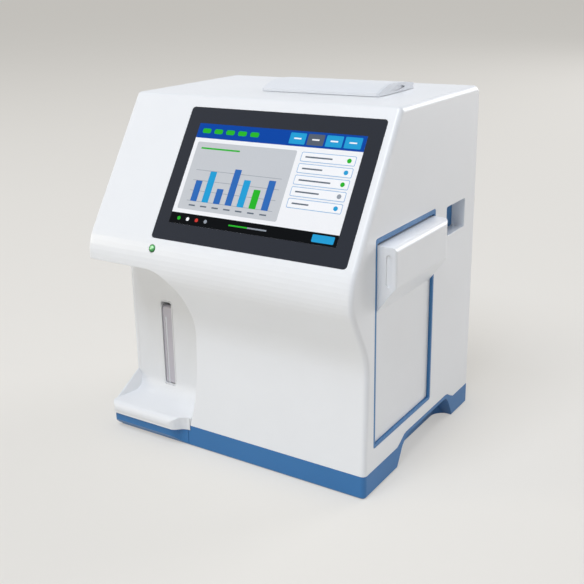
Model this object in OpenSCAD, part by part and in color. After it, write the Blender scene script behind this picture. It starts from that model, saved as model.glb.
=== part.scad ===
// Benchtop electrolyte analyzer: a sloped touch console over a scooped sample bay,
// a reagent pack that slides out of the right side and a roll printer under the top lid.
// Millimetres, +Z up, front towards -Y, origin on the table under the middle of the outer box.

/* [Body] */
// Width across the side faces
body_w = 260; // [244:1:280]
// Depth from the foot of the front face to the back
body_d = 211; // [204:1:230]
// Height of the top face above the table
body_h = 303.5; // [296:0.5:315]
// Wall of the white moulded shell
wall = 3; // [2.5:0.1:3.5]
// Radius of the rounding along both side outlines
edge_r = 4; // [3.5:0.5:6]
// Gap between mouldings that meet at a seam
seam = 0.15; // [0.1:0.05:0.25]

/* [Console] */
// Distance of the console's top edge behind the foot of the front face
console_back = 56; // [50:0.5:62]
// Lean of the console from upright, in degrees
console_tilt = 33.3; // [30:0.1:36]
// Drop from the top face to the corner where console and chin would meet
nose_drop = 128.5; // [123.5:0.5:133.5]
// Rounding of the nose
nose_r = 38; // [30:0.5:38]
// Lean of the chin from upright, in degrees
chin_tilt = 29.5; // [26:0.5:33]
// Hollow rounding where the chin runs into the front face
waist_r = 50; // [40:1:55]
// Backward lean of the lower front face, in degrees
front_lean = 2.4; // [1.5:0.1:3]
// Rounding between console and top
brow_r = 4; // [3.5:0.5:6]
// Rounding between top and back
back_r = 9; // [8.5:0.5:12]

/* [Screen] */
// Width of the touch glass
glass_w = 183.6; // [175:0.1:184]
// Height of the touch glass along the slope
glass_h = 118.5; // [112:0.5:119]
// Thickness of the touch glass
glass_t = 1.6; // [1.2:0.1:1.8]
// Corner radius of the touch glass
glass_r = 3; // [2:0.5:5]
// Margin from the right side face to the glass
glass_right = 8.7; // [8.2:0.1:14]
// Distance of the glass below the console's top edge
glass_drop = 10.8; // [9:0.1:12]
// Width of the lit display area
lit_w = 157.7; // [150:0.1:160]
// Height of the lit display area
lit_h = 89; // [84:0.5:92]
// Distance of the lit area below the top of the glass
lit_drop = 14.4; // [12:0.1:16]
// Thickness of the display module
lcd_t = 5; // [4:0.5:8]
// Diameter of the status lamp
led_d = 6.4; // [5:0.1:8]

/* [Base] */
// Height of the base's rim above the table
base_h = 20.5; // [19:0.5:22]
// Inset of the chamfer round the underside
base_chamfer = 1; // [0.8:0.1:2]
// Thickness of the base's floor
floor_t = 3; // [2.5:0.1:3.5]
// Gap under the base left by the feet
foot_gap = 0.6; // [0.5:0.1:1.5]
// Diameter of a foot
foot_d = 18; // [14:0.5:20]
// Front end of the hand grip behind the foot of the front face
grip_y = 58; // [54:0.5:62]
// Length of the hand grip
grip_l = 117; // [105:1:118]
// Height of the grip's arch above the base's rim
grip_rise = 7.5; // [6:0.5:8.5]
// Depth of the hand grip into the side
grip_deep = 16; // [15.5:0.5:18]
// Thickness of the wall round the hand grip
grip_wall = 3.4; // [2.8:0.1:3.6]
// Hollow rounding of the hand grip's ends, seen from above
grip_r = 14; // [8:0.5:15]
// Reach of the base's toe under the ledge
toe_out = 6.5; // [5:0.5:6.5]

/* [Sample bay] */
// Width of the bay from the left side face
bay_w = 95; // [90:0.5:98]
// Drop from the top face to the bay's ceiling
bay_drop = 134.2; // [132.5:0.1:136.5]
// Rounding of the bay's upper right corner
bay_r = 31; // [28:0.5:40]
// Sweep radius of the bay's lower right edge
bay_sweep = 200; // [160:1:220]
// Depth of the bay's back wall behind the foot of the front face
bay_y = 31.5; // [29.5:0.5:33]
// Thickness of the bay's walls
bay_t = 2.5; // [2:0.1:3]
// Reach of the ledge ahead of the front face
ledge_out = 9; // [7:0.5:11]
// Length of the part of the ledge that stands out
ledge_l = 86; // [80:0.5:89]
// Height of the ledge's top at its front edge
ledge_top = 27.3; // [26:0.1:29]
// Drop of the ledge's lip below the base's rim
ledge_lap = 4.5; // [3:0.5:6]
// Hollow rounding from the ledge up to the back wall
ledge_sweep = 14; // [12:0.5:16]
// Rounding of the ledge's front left corner, seen from above
ledge_corner = 6; // [4:0.5:8]
// Width of the sloped web at the foot of the ledge's left end
web_w = 10; // [6:0.5:12]

/* [Probe] */
// Distance of the slot's middle from the left side face
slot_x = 39.2; // [37:0.1:42]
// Width of the slot
slot_w = 13.8; // [13.6:0.1:14.8]
// Height of the slot
slot_h = 83; // [80:0.5:85]
// Height of the slot's lower end above the table
slot_z = 37; // [36.5:0.5:41]
// Depth of the probe channel behind the bay's back wall
slot_deep = 17; // [16:0.5:20]
// Width of the probe arm
arm_w = 10.6; // [9.6:0.1:10.6]
// Thickness of the probe arm
arm_t = 7; // [6:0.5:8]
// Diameter of the probe's pivot pin
pivot_d = 4; // [3:0.1:4.5]
// Outer diameter of the sampling needle
needle_d = 1.8; // [1.4:0.1:2.2]

/* [Reagent pack] */
// Front edge of the pack bay behind the foot of the front face
pack_y = 14.6; // [14:0.1:16]
// Width of the pack bay
pack_w = 107.4; // [102:0.2:108]
// Height of the pack bay's lower edge above the table
pack_z = 39.2; // [38.5:0.1:41]
// Drop from the top face to the pack bay's upper edge
pack_drop = 91.5; // [90.3:0.1:99.3]
// Depth of the pack bay
pack_deep = 97; // [92:0.5:98]
// Thickness of the pack bay's liner and rim
rim_t = 2.4; // [2:0.1:2.8]
// Height of the rim above the pack
rim_top = 4; // [3:0.1:4.5]
// Depth of the pack's front panel behind the side face
pack_set = 2.3; // [1.8:0.1:3]
// Gap between pack and liner
pack_gap = 0.5; // [0.4:0.05:0.7]
// Gap above the pack
pack_top_gap = 1.6; // [1.2:0.1:2]
// Reach of the grip block beyond the side face
block_out = 15.5; // [13:0.5:18]
// Height of the grip block's upright face
block_h = 31; // [28:0.5:34]
// Height of the wedge under the grip block
wedge_h = 24; // [20:0.5:28]

/* [Finger pocket] */
// Front edge of the pocket behind the foot of the front face
pocket_y = 145; // [140:0.5:148]
// Length of the pocket
pocket_l = 40; // [36:0.5:42]
// Drop from the top face to the pocket's lower edge
pocket_drop = 121.5; // [119.5:0.5:123.5]
// Height of the pocket
pocket_h = 26; // [22:0.5:27]
// Depth of the pocket
pocket_deep = 12; // [10:0.5:14]

/* [Printer] */
// Distance of the lid's right end from the right side face
lid_right = 42; // [38:0.5:46]
// Length of the lid along the front
lid_w = 113; // [110:0.5:118]
// Distance of the lid's front edge behind the foot of the front face
lid_y = 100; // [97:0.5:103]
// Depth of the lid from front to back
lid_d = 66; // [65:0.5:70]
// Height of the lid's crown above the top
lid_crown = 8.2; // [7.4:0.2:9]
// Thickness of the lid
lid_t = 2; // [1.6:0.1:2.2]
// Thickness of the grey end of the lid
lid_end = 3; // [2.5:0.5:5]
// Running gap under and around moving covers
cover_gap = 0.3; // [0.25:0.05:0.4]
// Diameter of the lid's hinge pin
hinge_d = 2; // [1.8:0.1:2.2]
// Depth of the paper well below the top
well_deep = 52; // [50:0.5:60]
// Diameter of the paper roll
roll_d = 38; // [30:0.5:40]
// Width of the paper roll
roll_w = 58; // [50:0.5:58]
// Diameter of the platen roller
platen_d = 10; // [8:0.5:10]

/* [Fluidics] */
// Thickness of the chassis sheet
sheet_t = 1.5; // [1.2:0.1:2]
// Diameter of an ion electrode
electrode_d = 10; // [9:0.5:10.5]
// Number of ion electrodes in the row
electrode_n = 5; // [3:1:5]
// Distance between electrodes in the row
electrode_pitch = 13; // [12.6:0.1:13.4]
// Diameter of the pump motor
motor_d = 36; // [30:0.5:38]
// Diameter of the circle that the pump's rollers run on
roller_circle = 24; // [22:0.5:24]
// Diameter of a pump roller
roller_d = 9.6; // [8:0.1:9.6]
// Outer diameter of the tubing
tube_d = 2.8; // [2.4:0.1:3]

/* [Electrics] */
// Width of the rear panel
panel_w = 208; // [200:0.5:212]
// Height of the rear panel
panel_h = 176; // [170:0.5:180]
// Height of the rear panel's lower edge above the table
panel_z = 38; // [36:0.5:42]
// Edge length of the fan's frame
fan_w = 60; // [56:0.5:62]
// Thickness of the fan
fan_t = 15; // [14:0.5:18]
// Number of fan blades
fan_blades = 7; // [5:1:9]

/* [Hidden] */
$fn = 48;

white = "#ECEDEF";
blue = "#3A71A3";
grey = "#9A9DA1";
dark = "#363942";
steel = "#B9BEC4";

half_w = body_w / 2;
past = 1;
run_gap = 0.05;
pin_gap = 0.03;

// Heights above the table of what hangs from the top face
nose_z = body_h - nose_drop;
bay_top = body_h - bay_drop;
pack_h = body_h - pack_drop - pack_z;
pocket_z = body_h - pocket_drop;

// Side outline of the housing: corner points as [y, z, radius], anticlockwise from the front foot
nose_y = console_back - (body_h - nose_z) * tan(console_tilt);
waist_z = (nose_y + nose_z * tan(chin_tilt) + base_h * tan(front_lean))
  / (tan(front_lean) + tan(chin_tilt));
waist_y = (waist_z - base_h) * tan(front_lean);
side_corners = [
  [0, base_h, 0],
  [body_d, base_h, 0],
  [body_d, body_h, back_r],
  [console_back, body_h, brow_r],
  [nose_y, nose_z, nose_r],
  [waist_y, waist_z, waist_r],
];
arc_steps = 10;
edge_steps = 5;
least_r = 0.5;

// Foremost point of the rounded nose, which sets the outer box in Y
nose_turn = console_tilt + chin_tilt;
nose_front = nose_y + nose_r * (1 / cos(nose_turn / 2) * cos((console_tilt - chin_tilt) / 2) - 1);

function unit(v) = v / norm(v);
function left_of(u) = [-u[1], u[0]];
function flat_turn(u, v) = atan2(u[0] * v[1] - u[1] * v[0], u * v);
function spin(v, a) = [v[0] * cos(a) - v[1] * sin(a), v[0] * sin(a) + v[1] * cos(a)];
function flat(p) = [p[0], p[1]];

// Corner i of an outline after its edges move inwards; the first edge stays where it is
function moved_corner(c, i, d) =
  let (
    n = len(c),
    u = left_of(unit(flat(c[i]) - flat(c[(i + n - 1) % n]))),
    v = left_of(unit(flat(c[(i + 1) % n]) - flat(c[i]))),
    du = i == 1 ? 0 : d,
    dv = i == 0 ? 0 : d,
    det = u[0] * v[1] - u[1] * v[0]
  ) flat(c[i]) + [(du * v[1] - u[1] * dv) / det, (u[0] * dv - du * v[0]) / det];

// Points of the rounding at a corner p, entered along u and left along v
function corner_arc(p, u, v, r) =
  let (
    a = flat_turn(u, v),
    start = p - u * r * tan(abs(a) / 2),
    mid = start + left_of(u) * r * sign(a)
  ) [for (k = [0:arc_steps]) mid + spin(start - mid, a * k / arc_steps)];

// Outline with rounded corners, moved inwards by d
function rounded_outline(c, d = 0) =
  let (n = len(c), p = [for (i = [0:n - 1]) moved_corner(c, i, d)])
  [for (i = [0:n - 1])
    let (
      u = unit(p[i] - p[(i + n - 1) % n]),
      v = unit(p[(i + 1) % n] - p[i])
    )
    for (q = c[i][2] == 0 ? [p[i]]
      : corner_arc(p[i], u, v, max(least_r, c[i][2] - sign(flat_turn(u, v)) * d))) q];

// Points of a quarter-like arc between two angles
function arc(cx, cy, r, a0, a1, n = arc_steps) =
  [for (k = [0:n]) let (a = a0 + (a1 - a0) * k / n) [cx + r * cos(a), cy + r * sin(a)]];

// Points of a curve with one handle
function bend(a, h, b, n = arc_steps) =
  [for (k = [0:n]) let (t = k / n) a * (1 - t) * (1 - t) + h * 2 * t * (1 - t) + b * t * t];

// Moves a piece from the body's frame, y = 0 at the foot of the front face, to the part's frame
part_x = -block_out / 2;
part_y = -(nose_front + body_d) / 2;
module placed() translate([part_x, part_y, 0]) children();

// A flat outline in Y and Z, run along X
module along_x(x0, x1) translate([x0, 0, 0]) rotate([90, 0, 90]) linear_extrude(x1 - x0) children();
// A flat outline in X and Z, run along Y
module along_y(y0, y1) translate([0, y1, 0]) rotate([90, 0, 0]) linear_extrude(y1 - y0) children();
// A flat outline in X and Y, run along Z
module along_z(z0, z1) translate([0, 0, z0]) linear_extrude(z1 - z0) children();
// A box between two corners
module box(a, b) translate(a) cube(b - a);
// A rod along X through [y, z]
module rod_x(x0, x1, y, z, d) translate([x0, y, z]) rotate([0, 90, 0]) cylinder(d = d, h = x1 - x0);
// A rod along Y through [x, z]
module rod_y(y0, y1, x, z, d) translate([x, y1, z]) rotate([90, 0, 0]) cylinder(d = d, h = y1 - y0);
// A rectangle with round corners, between two corners
module soft_rect(a, b, r) {
  translate([a[0] + r, a[1]]) square([b[0] - a[0] - 2 * r, b[1] - a[1]]);
  translate([a[0], a[1] + r]) square([b[0] - a[0], b[1] - a[1] - 2 * r]);
  for (x = [a[0] + r, b[0] - r], y = [a[1] + r, b[1] - r]) translate([x, y]) circle(r);
}
// A stadium: a slot with round ends, between two end centres
module stadium(a, b, d) {
  translate(a) circle(d = d);
  translate(b) circle(d = d);
  translate((a + b) / 2) rotate(atan2(b[1] - a[1], b[0] - a[0]))
    square([norm(b - a), d], center = true);
}
// Frame on the console: X to the right, Y up the slope, Z out of the console, origin at its top edge
module on_console() translate([0, console_back, body_h]) rotate([90 - console_tilt, 0, 0]) children();

/* Housing */

// Rings of the outer form from the left side to the right
function ring(k) = rounded_outline(side_corners, edge_r * (1 - sin(90 * k / edge_steps)));
function ring_x(k) = half_w - edge_r * (1 - cos(90 * k / edge_steps));
half_rings = [for (k = [0:edge_steps]) ring(k)];
ring_n = len(half_rings[0]);
ring_order = concat(
  [for (k = [0:edge_steps]) [-ring_x(k), k]],
  [for (k = [edge_steps:-1:0]) [ring_x(k), k]]
);

module outer_form() {
  last = len(ring_order) - 1;
  middle = [body_d / 2, body_h / 2];
  points = concat(
    [for (o = ring_order) for (p = half_rings[o[1]]) [o[0], p[0], p[1]]],
    [for (x = [-half_w, half_w]) [x, middle[0], middle[1]]]
  );
  sides = [for (j = [0:last - 1]) for (i = [0:ring_n - 1])
    let (a = j * ring_n + i, b = j * ring_n + (i + 1) % ring_n)
    for (f = [[a, b + ring_n, b], [a, a + ring_n, b + ring_n]]) f];
  left_cap = [for (i = [0:ring_n - 1]) [(last + 1) * ring_n, i, (i + 1) % ring_n]];
  right_cap = [for (i = [0:ring_n - 1])
    [(last + 1) * ring_n + 1, last * ring_n + (i + 1) % ring_n, last * ring_n + i]];
  polyhedron(points, concat(sides, left_cap, right_cap));
}

// Inner space of the housing, set in by d from the outside
module inner_form(d) {
  inside = rounded_outline(side_corners, d);
  along_x(-half_w + d, half_w - d) polygon(concat(
    [[inside[0][0], base_h - past], [inside[1][0], base_h - past]],
    [for (i = [2:len(inside) - 1]) inside[i]]
  ));
}

// Outline of the bay's mouth, seen from the front, grown by g
bay_x = -half_w + bay_w;
sweep_rise = 60;
sweep_z = base_h + sweep_rise;
module bay_mouth(g = 0) {
  low = base_h - past;
  sweep_a = asin((sweep_z - low) / (bay_sweep + g));
  polygon(concat(
    [[-half_w - ledge_out, low]],
    arc(bay_x - bay_sweep, sweep_z, bay_sweep + g, -sweep_a, 0),
    arc(bay_x - bay_r, bay_top - bay_r, bay_r + g, 0, 90),
    [[-half_w - ledge_out, bay_top + g]]
  ));
}

// Arch of the hand grip above the base's rim, seen from the side
grip_top = base_h + grip_rise;
arch_in = 17;
arch_low = 0.35;
arch_high = 0.25;
module grip_arch(g = 0) {
  low = base_h - past;
  polygon([
    [grip_y - g, low],
    [grip_y - g, base_h],
    [grip_y + arch_in * arch_low, base_h + grip_rise * arch_low + g],
    [grip_y + arch_in * (1 - arch_high), grip_top - grip_rise * arch_high / 2 + g],
    [grip_y + arch_in, grip_top + g],
    [grip_y + grip_l - arch_in, grip_top + g],
    [grip_y + grip_l - arch_in * (1 - arch_high), grip_top - grip_rise * arch_high / 2 + g],
    [grip_y + grip_l - arch_in * arch_low, base_h + grip_rise * arch_low + g],
    [grip_y + grip_l + g, base_h],
    [grip_y + grip_l + g, low],
  ]);
}

// Chassis beside the pack bay, and what it carries
pack_x0 = half_w - pack_deep;
plate_gap = 16;
plate_x = pack_x0 - plate_gap;
chassis_y = 50;
chassis_d = 120;
chassis_room = 23.5;
chassis_top = body_h - well_deep - chassis_room;
supply_w = 96;
foot_w = 20;
supply_x = plate_x - foot_w - supply_w - 6;
holder_deep = 30;
holder_in = 22;
holder_y = chassis_y + holder_in;
electrode_in = 9;
holder_w = electrode_pitch * (electrode_n + 1) + electrode_in;
holder_h = 32;
pump_in = 42;
pump_y = chassis_y + pump_in;
pump_z = 78;
valve_in = 22;
valve_y = chassis_y + chassis_d - valve_in;

post_d = 9;
post_h = 14;
post_lap = 0.5;
post_in = wall + post_d / 2 - post_lap;
screw_d = 3;
post_places = [
  for (x = [-half_w + post_in, half_w - post_in])
    for (y = [grip_y - grip_wall - post_d, body_d - post_in]) [x, y]
];
panel_frame = 6;
panel_y = body_d - wall;
pocket_x = half_w - pocket_deep;
lid_x1 = half_w - lid_right;
lid_x0 = lid_x1 - lid_w;
well_margin = 7;
well_x0 = lid_x0 + well_margin;
well_end = 14;
well_x1 = lid_x1 - well_end;
well_front = 5;
well_back = 9;
well_y0 = lid_y + well_front;
well_y1 = lid_y + lid_d - well_back;
hinge_wall = 1.4;
hinge_r = hinge_d / 2 + hinge_wall;
hinge_y = lid_y + lid_d - hinge_r;
hinge_z = body_h + hinge_r + cover_gap;
ear_w = 6;
ear_in = 18;
ear_places = [lid_x0 + ear_in, well_x1 - ear_in + 2];
glass_x1 = half_w - glass_right;
glass_x0 = glass_x1 - glass_w;
glass_low = -glass_drop - glass_h;
lit_x0 = (glass_x0 + glass_x1 - lit_w) / 2;
lit_low = -glass_drop - lit_drop - lit_h;
led_side = 4;
led_drop = 9;
led_x = glass_x0 + led_side;
led_low = glass_low - led_drop;
led_flange = 1.2;
led_sink = 0.8;
led_stem = 2;
led_dome = 1.4;
lcd_ledge = 5;

module housing() color(white) placed() difference() {
  union() {
    difference() {
      outer_form();
      inner_form(wall);
    }
    // walls of the finger pocket
    box([pocket_x, pocket_y - wall, pocket_z - wall],
      [half_w - wall / 2, pocket_y + pocket_l + wall, pocket_z + pocket_h + wall]);
    // frame that the rear panel is screwed to
    along_y(panel_y - wall, panel_y + wall / 2) square_frame(panel_frame);
    // posts for the screws that come up through the base
    for (p = post_places) translate([p[0], p[1], base_h]) cylinder(d = post_d, h = post_h);
  }
  // seat and window of the screen
  on_console() {
    along_z(-glass_t - seam, past)
      soft_rect([glass_x0 - seam, glass_low - seam], [glass_x1 + seam, -glass_drop + seam], glass_r + seam);
    along_z(-wall - past, past) soft_rect([lit_x0, lit_low], [lit_x0 + lit_w, lit_low + lit_h], 1);
    translate([led_x, led_low, -2 * wall]) cylinder(d = led_d + 2 * seam, h = 2 * wall + past);
  }
  // bay, open to the front and the left
  along_y(nose_y - past, bay_y) bay_mouth();
  // pack bay and finger pocket on the right
  along_x(half_w - wall - past, half_w + past)
    soft_rect([pack_y - seam, pack_z - seam], [pack_y + pack_w + seam, pack_z + pack_h + seam], rim_t);
  along_x(pocket_x - past, half_w + past)
    soft_rect([pocket_y, pocket_z], [pocket_y + pocket_l, pocket_z + pocket_h], 2);
  // arches over the hand grips
  along_x(-half_w - past, half_w + past) grip_arch(seam);
  // well of the printer, with notches for its hinge ears
  box([well_x0 - seam, well_y0 - seam, body_h - wall - past],
    [well_x1 + seam, well_y1 + seam, body_h + past]);
  for (x = ear_places)
    box([x - ear_w / 2 - seam, well_y1 - past, body_h - wall - past],
      [x + ear_w / 2 + seam, hinge_y + hinge_r + seam, body_h + past]);
  // rear panel
  along_y(panel_y, body_d + past)
    soft_rect([-panel_w / 2 - seam, panel_z - seam], [panel_w / 2 + seam, panel_z + panel_h + seam], 3);
  along_y(panel_y - 2 * wall, body_d)
    soft_rect([-panel_w / 2 + panel_frame, panel_z + panel_frame],
      [panel_w / 2 - panel_frame, panel_z + panel_h - panel_frame], 3);
  for (p = rear_screw_places) rod_y(panel_y - 2 * wall, body_d, p[0], p[1], screw_d + 2 * pin_gap);
  // screw holes in the posts
  for (p = post_places) translate([p[0], p[1], base_h - past])
    cylinder(d = screw_d + 2 * pin_gap, h = post_h - 1);
}

module square_frame(t) difference() {
  soft_rect([-panel_w / 2 - t, panel_z - t], [panel_w / 2 + t, panel_z + panel_h + t], 3);
  soft_rect([-panel_w / 2 + t, panel_z + t], [panel_w / 2 - t, panel_z + panel_h - t], 3);
}

/* Base */

module base_plan(d) soft_rect([-half_w + d, d], [half_w - d, body_d - d], edge_r - min(d, edge_r - 1));

base_in = foot_gap + floor_t;
pad_h = 2.5;
pad_top = base_in + pad_h;
rib_in = 10;
rib_t = 4;
slab = 0.4;
module base_solid() hull() {
  along_z(foot_gap, foot_gap + slab) base_plan(base_chamfer);
  along_z(foot_gap + slab + base_chamfer, base_h) base_plan(0);
}

// Toe of the base that follows the ledge above it
module base_toe() {
  low = foot_gap + slab + base_chamfer;
  high = base_h - ledge_lap - seam;
  back = edge_r + past;
  intersection() {
    along_x(-half_w, -half_w + ledge_l)
      polygon([[back, low], [0, low], [-toe_out, low + toe_out], [-toe_out, high], [back, high]]);
    along_z(0, base_h) ledge_plan(ledge_out - toe_out, back);
  }
}

// Scoop of the hand grip, seen from the side
scoop_lean = 20;
scoop_knee = 0.72;
module grip_scoop() {
  low = -past;
  high = grip_top - grip_wall;
  knee = high * scoop_knee;
  polygon(concat(
    [[grip_y - past, low]],
    bend([grip_y + scoop_lean / 2, knee], [grip_y + scoop_lean * (1 - arch_high / 2), high],
      [grip_y + scoop_lean * (1 + arch_high), high]),
    bend([grip_y + grip_l - scoop_lean, high], [grip_y + grip_l - scoop_lean * (1 - arch_high), high],
      [grip_y + grip_l - scoop_lean / 2, knee]),
    [[grip_y + grip_l + past, low]]
  ));
}

// The same scoop seen from above, with round ends
module scoop_plan() {
  x0 = half_w - grip_deep;
  polygon(concat(
    [[half_w + past, grip_y - past]],
    arc(x0 + grip_r, grip_y - past + grip_r, grip_r, 270, 180),
    arc(x0 + grip_r, grip_y + grip_l + past - grip_r, grip_r, 180, 90),
    [[half_w + past, grip_y + grip_l + past]]
  ));
}

foot_in = [30, 24];
foot_places = [for (x = [-1, 1], y = [foot_in[1], body_d - foot_in[1]]) [x * (half_w - foot_in[0]), y]];
foot_sink = 1;
foot_bevel = 1.5;
screw_head = 6;
head_h = 2.4;

module base_pan() color(blue) placed() difference() {
  union() {
    difference() {
      union() {
        base_solid();
        base_toe();
      }
      along_z(base_in, base_h + past) base_plan(wall);
    }
    // hand grips: closed pockets that also fill the arches in the housing
    intersection() {
      union() {
        base_solid();
        along_z(base_h - past, grip_top + past) base_plan(0);
      }
      for (side = [-1, 1]) scale([side, 1, 1])
        along_x(half_w - grip_deep - grip_wall, half_w) {
          translate([grip_y - grip_wall, foot_gap]) square([grip_l + 2 * grip_wall, base_h - foot_gap]);
          grip_arch();
        }
    }
    for (p = post_places) translate([p[0], p[1], base_in - post_lap])
      cylinder(d = post_d, h = base_h - base_in + post_lap);
    // ribs that carry the chassis and the power supply
    for (y = [chassis_y + rib_in, chassis_y + chassis_d - rib_in])
      box([supply_x, y - rib_t / 2, base_in - post_lap], [plate_x, y + rib_t / 2, pad_top]);
  }
  for (side = [-1, 1]) scale([side, 1, 1]) intersection() {
    along_x(half_w - grip_deep, half_w + past) grip_scoop();
    along_z(-past, grip_top) scoop_plan();
  }
  for (p = foot_places) translate([p[0], p[1], 0])
    cylinder(d = foot_d + 2 * seam, h = foot_gap + foot_sink);
  for (p = post_places) translate([p[0], p[1], 0]) {
    cylinder(d = screw_d + 2 * pin_gap, h = base_h + past);
    cylinder(d = screw_head + 2 * seam, h = base_in);
  }
}

module rubber_feet() color("#2B2C2E") placed()
  for (p = foot_places) translate([p[0], p[1], 0]) rotate_extrude()
    polygon([[0, 0], [foot_d / 2 - foot_bevel, 0], [foot_d / 2, foot_bevel / 2],
      [foot_d / 2, foot_gap + foot_sink], [0, foot_gap + foot_sink]]);

module base_screws() color(steel) placed()
  for (p = post_places) translate([p[0], p[1], 0]) {
    translate([0, 0, base_in - head_h]) cylinder(d = screw_head, h = head_h);
    translate([0, 0, base_in - past]) cylinder(d = screw_d, h = base_h - base_in + post_h - screw_d - past);
  }

/* Sample bay */

slot_mid = -half_w + slot_x;
slot_top = slot_z + slot_h;
bezel_t = 1;
bezel_proud = 0.2;
bezel_flange = 3;
bezel_r = 3;

ledge_slope = 1.2;
ledge_nose = 6;
ledge_lip = 3.4;
ledge_chin = 0.8;
module ledge_profile() {
  z0 = base_h - ledge_lap;
  back = bay_y + bay_t / 2;
  hollow_z = ledge_top + ledge_slope + ledge_sweep;
  polygon(concat(
    [[-ledge_out + ledge_chin, z0], [0, z0], [0, base_h], [back, base_h], [back, hollow_z]],
    arc(bay_y - ledge_sweep, hollow_z, ledge_sweep, 0, -90),
    arc(-ledge_out + ledge_nose, ledge_top - ledge_nose, ledge_nose, 90, 180),
    [[-ledge_out, z0 + ledge_lip], [-ledge_out + ledge_chin, z0 + ledge_lip - ledge_chin]]
  ));
}

// Web that closes the hollow rounding at the ledge's left end, with a sloped inner face
web_rise = 18;
web_top = 1.2;
web_front = [-half_w + web_top, -ledge_out + ledge_corner, ledge_top - ledge_slope];
web_back = [-half_w + web_top, bay_y - seam, ledge_top + web_rise];
web_foot = [-half_w + web_w, bay_y - seam, ledge_top];
web_face = unit(cross(web_foot - web_front, web_back - web_front));
module ledge_web() intersection() {
  along_x(-half_w, -half_w + web_w) polygon([
    [web_front[1], ledge_top - ledge_nose],
    [web_front[1], web_front[2]],
    [web_back[1], web_back[2]],
    [web_back[1], ledge_top - ledge_nose],
  ]);
  translate(web_back) rotate([0, acos(web_face[2]), atan2(web_face[1], web_face[0])])
    translate([-body_w, -body_w, -body_w]) cube([2 * body_w, 2 * body_w, body_w]);
}

ledge_run_in = 20;
ledge_turn = 4;
ledge_tip = 0.3;
// The ledge seen from above, set in by d
module ledge_plan(d = 0, back = past) {
  x1 = -half_w + ledge_l - d;
  front = -ledge_out + d;
  r = ledge_corner - d / 2;
  mid = [x1 - ledge_run_in / 2, (front - ledge_tip) / 2];
  polygon(concat(
    [[-half_w, back]],
    arc(-half_w + r, front + r, r, 180, 270),
    bend([x1 - ledge_run_in, front], [mid[0] - ledge_turn, front], mid),
    bend(mid, [mid[0] + ledge_turn, -ledge_tip], [x1, -ledge_tip]),
    [[mid[0] + ledge_turn, back]]
  ));
}

module sample_bay() color(white) placed() difference() {
  union() {
    intersection() {
      inner_form(wall + seam);
      difference() {
        along_y(nose_y, bay_y + bay_t) bay_mouth(bay_t);
        along_y(nose_y - past, bay_y) bay_mouth();
      }
    }
    intersection() {
      along_x(-half_w, bay_x) ledge_profile();
      union() {
        along_y(0, bay_y + bay_t / 2) bay_mouth(-seam);
        along_z(0, body_h) ledge_plan();
      }
    }
    ledge_web();
  }
  along_y(bay_y - slot_deep / 2, bay_y + bay_t + past)
    soft_rect([slot_mid - slot_w / 2 - seam, slot_z - seam],
      [slot_mid + slot_w / 2 + seam, slot_top + seam], bezel_r + seam);
  // seam beside the housing's left wall
  box([-half_w - past, bay_y - seam, 0], [-half_w + wall + seam, bay_y + bay_t + past, body_h]);
}

/* Probe */

channel_w = slot_w - 2 * bezel_t;
arm_set = 0.8;
arm_y = bay_y + arm_set;
pivot_y = arm_y + arm_t / 2;
pivot_drop = 8;
arm_clear = 1;
pivot_z = slot_top - bezel_t - pivot_drop;
arm_low = slot_z + bezel_t + arm_clear;
arm_round = arm_t;

module slot_bezel() color(white) placed() difference() {
  union() {
    along_y(bay_y - bezel_proud, bay_y + slot_deep)
      soft_rect([slot_mid - slot_w / 2, slot_z], [slot_mid + slot_w / 2, slot_top], bezel_r);
    along_y(bay_y + bay_t + seam, bay_y + bay_t + 2 * bezel_t)
      soft_rect([slot_mid - slot_w / 2 - bezel_flange, slot_z - bezel_flange],
        [slot_mid + slot_w / 2 + bezel_flange, slot_top + bezel_flange], bezel_r);
  }
  along_y(bay_y - past, bay_y + slot_deep - bezel_t)
    soft_rect([slot_mid - channel_w / 2, slot_z + bezel_t],
      [slot_mid + channel_w / 2, slot_top - bezel_t], bezel_r - bezel_t);
  rod_x(slot_mid - slot_w, slot_mid + slot_w, pivot_y, pivot_z, pivot_d + 2 * pin_gap);
}

// Needle in a groove of the arm's front face
needle_side = 1.8;
needle_set = -0.3;
needle_x = slot_mid - needle_side;
needle_y = arm_y + needle_set + needle_d / 2;
groove = needle_d / 2 + pin_gap;
module probe_arm() color("#BDBAC0") placed() difference() {
  union() {
    along_x(slot_mid - arm_w / 2, slot_mid + arm_w / 2) {
      stadium([pivot_y, pivot_z], [pivot_y, arm_low + arm_t / 2], arm_round);
      translate([arm_y, arm_low]) square([arm_t, arm_t]);
    }
  }
  rod_x(slot_mid - arm_w, slot_mid + arm_w, pivot_y, pivot_z, pivot_d + 2 * run_gap);
  box([needle_x - groove, arm_y - past, arm_low - past],
    [needle_x + groove, needle_y + needle_d / 2, pivot_z - arm_t]);
}

module probe_needle() color(steel) placed()
  translate([needle_x, needle_y, arm_low - 1]) difference() {
    cylinder(d = needle_d, h = pivot_z - arm_t - arm_low + 1);
    translate([0, 0, -past]) cylinder(d = needle_d / 2, h = pivot_z - arm_low);
  }

module probe_pivot() color(steel) placed()
  rod_x(slot_mid - slot_w / 2 + seam, slot_mid + slot_w / 2 - seam, pivot_y, pivot_z, pivot_d);

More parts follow.
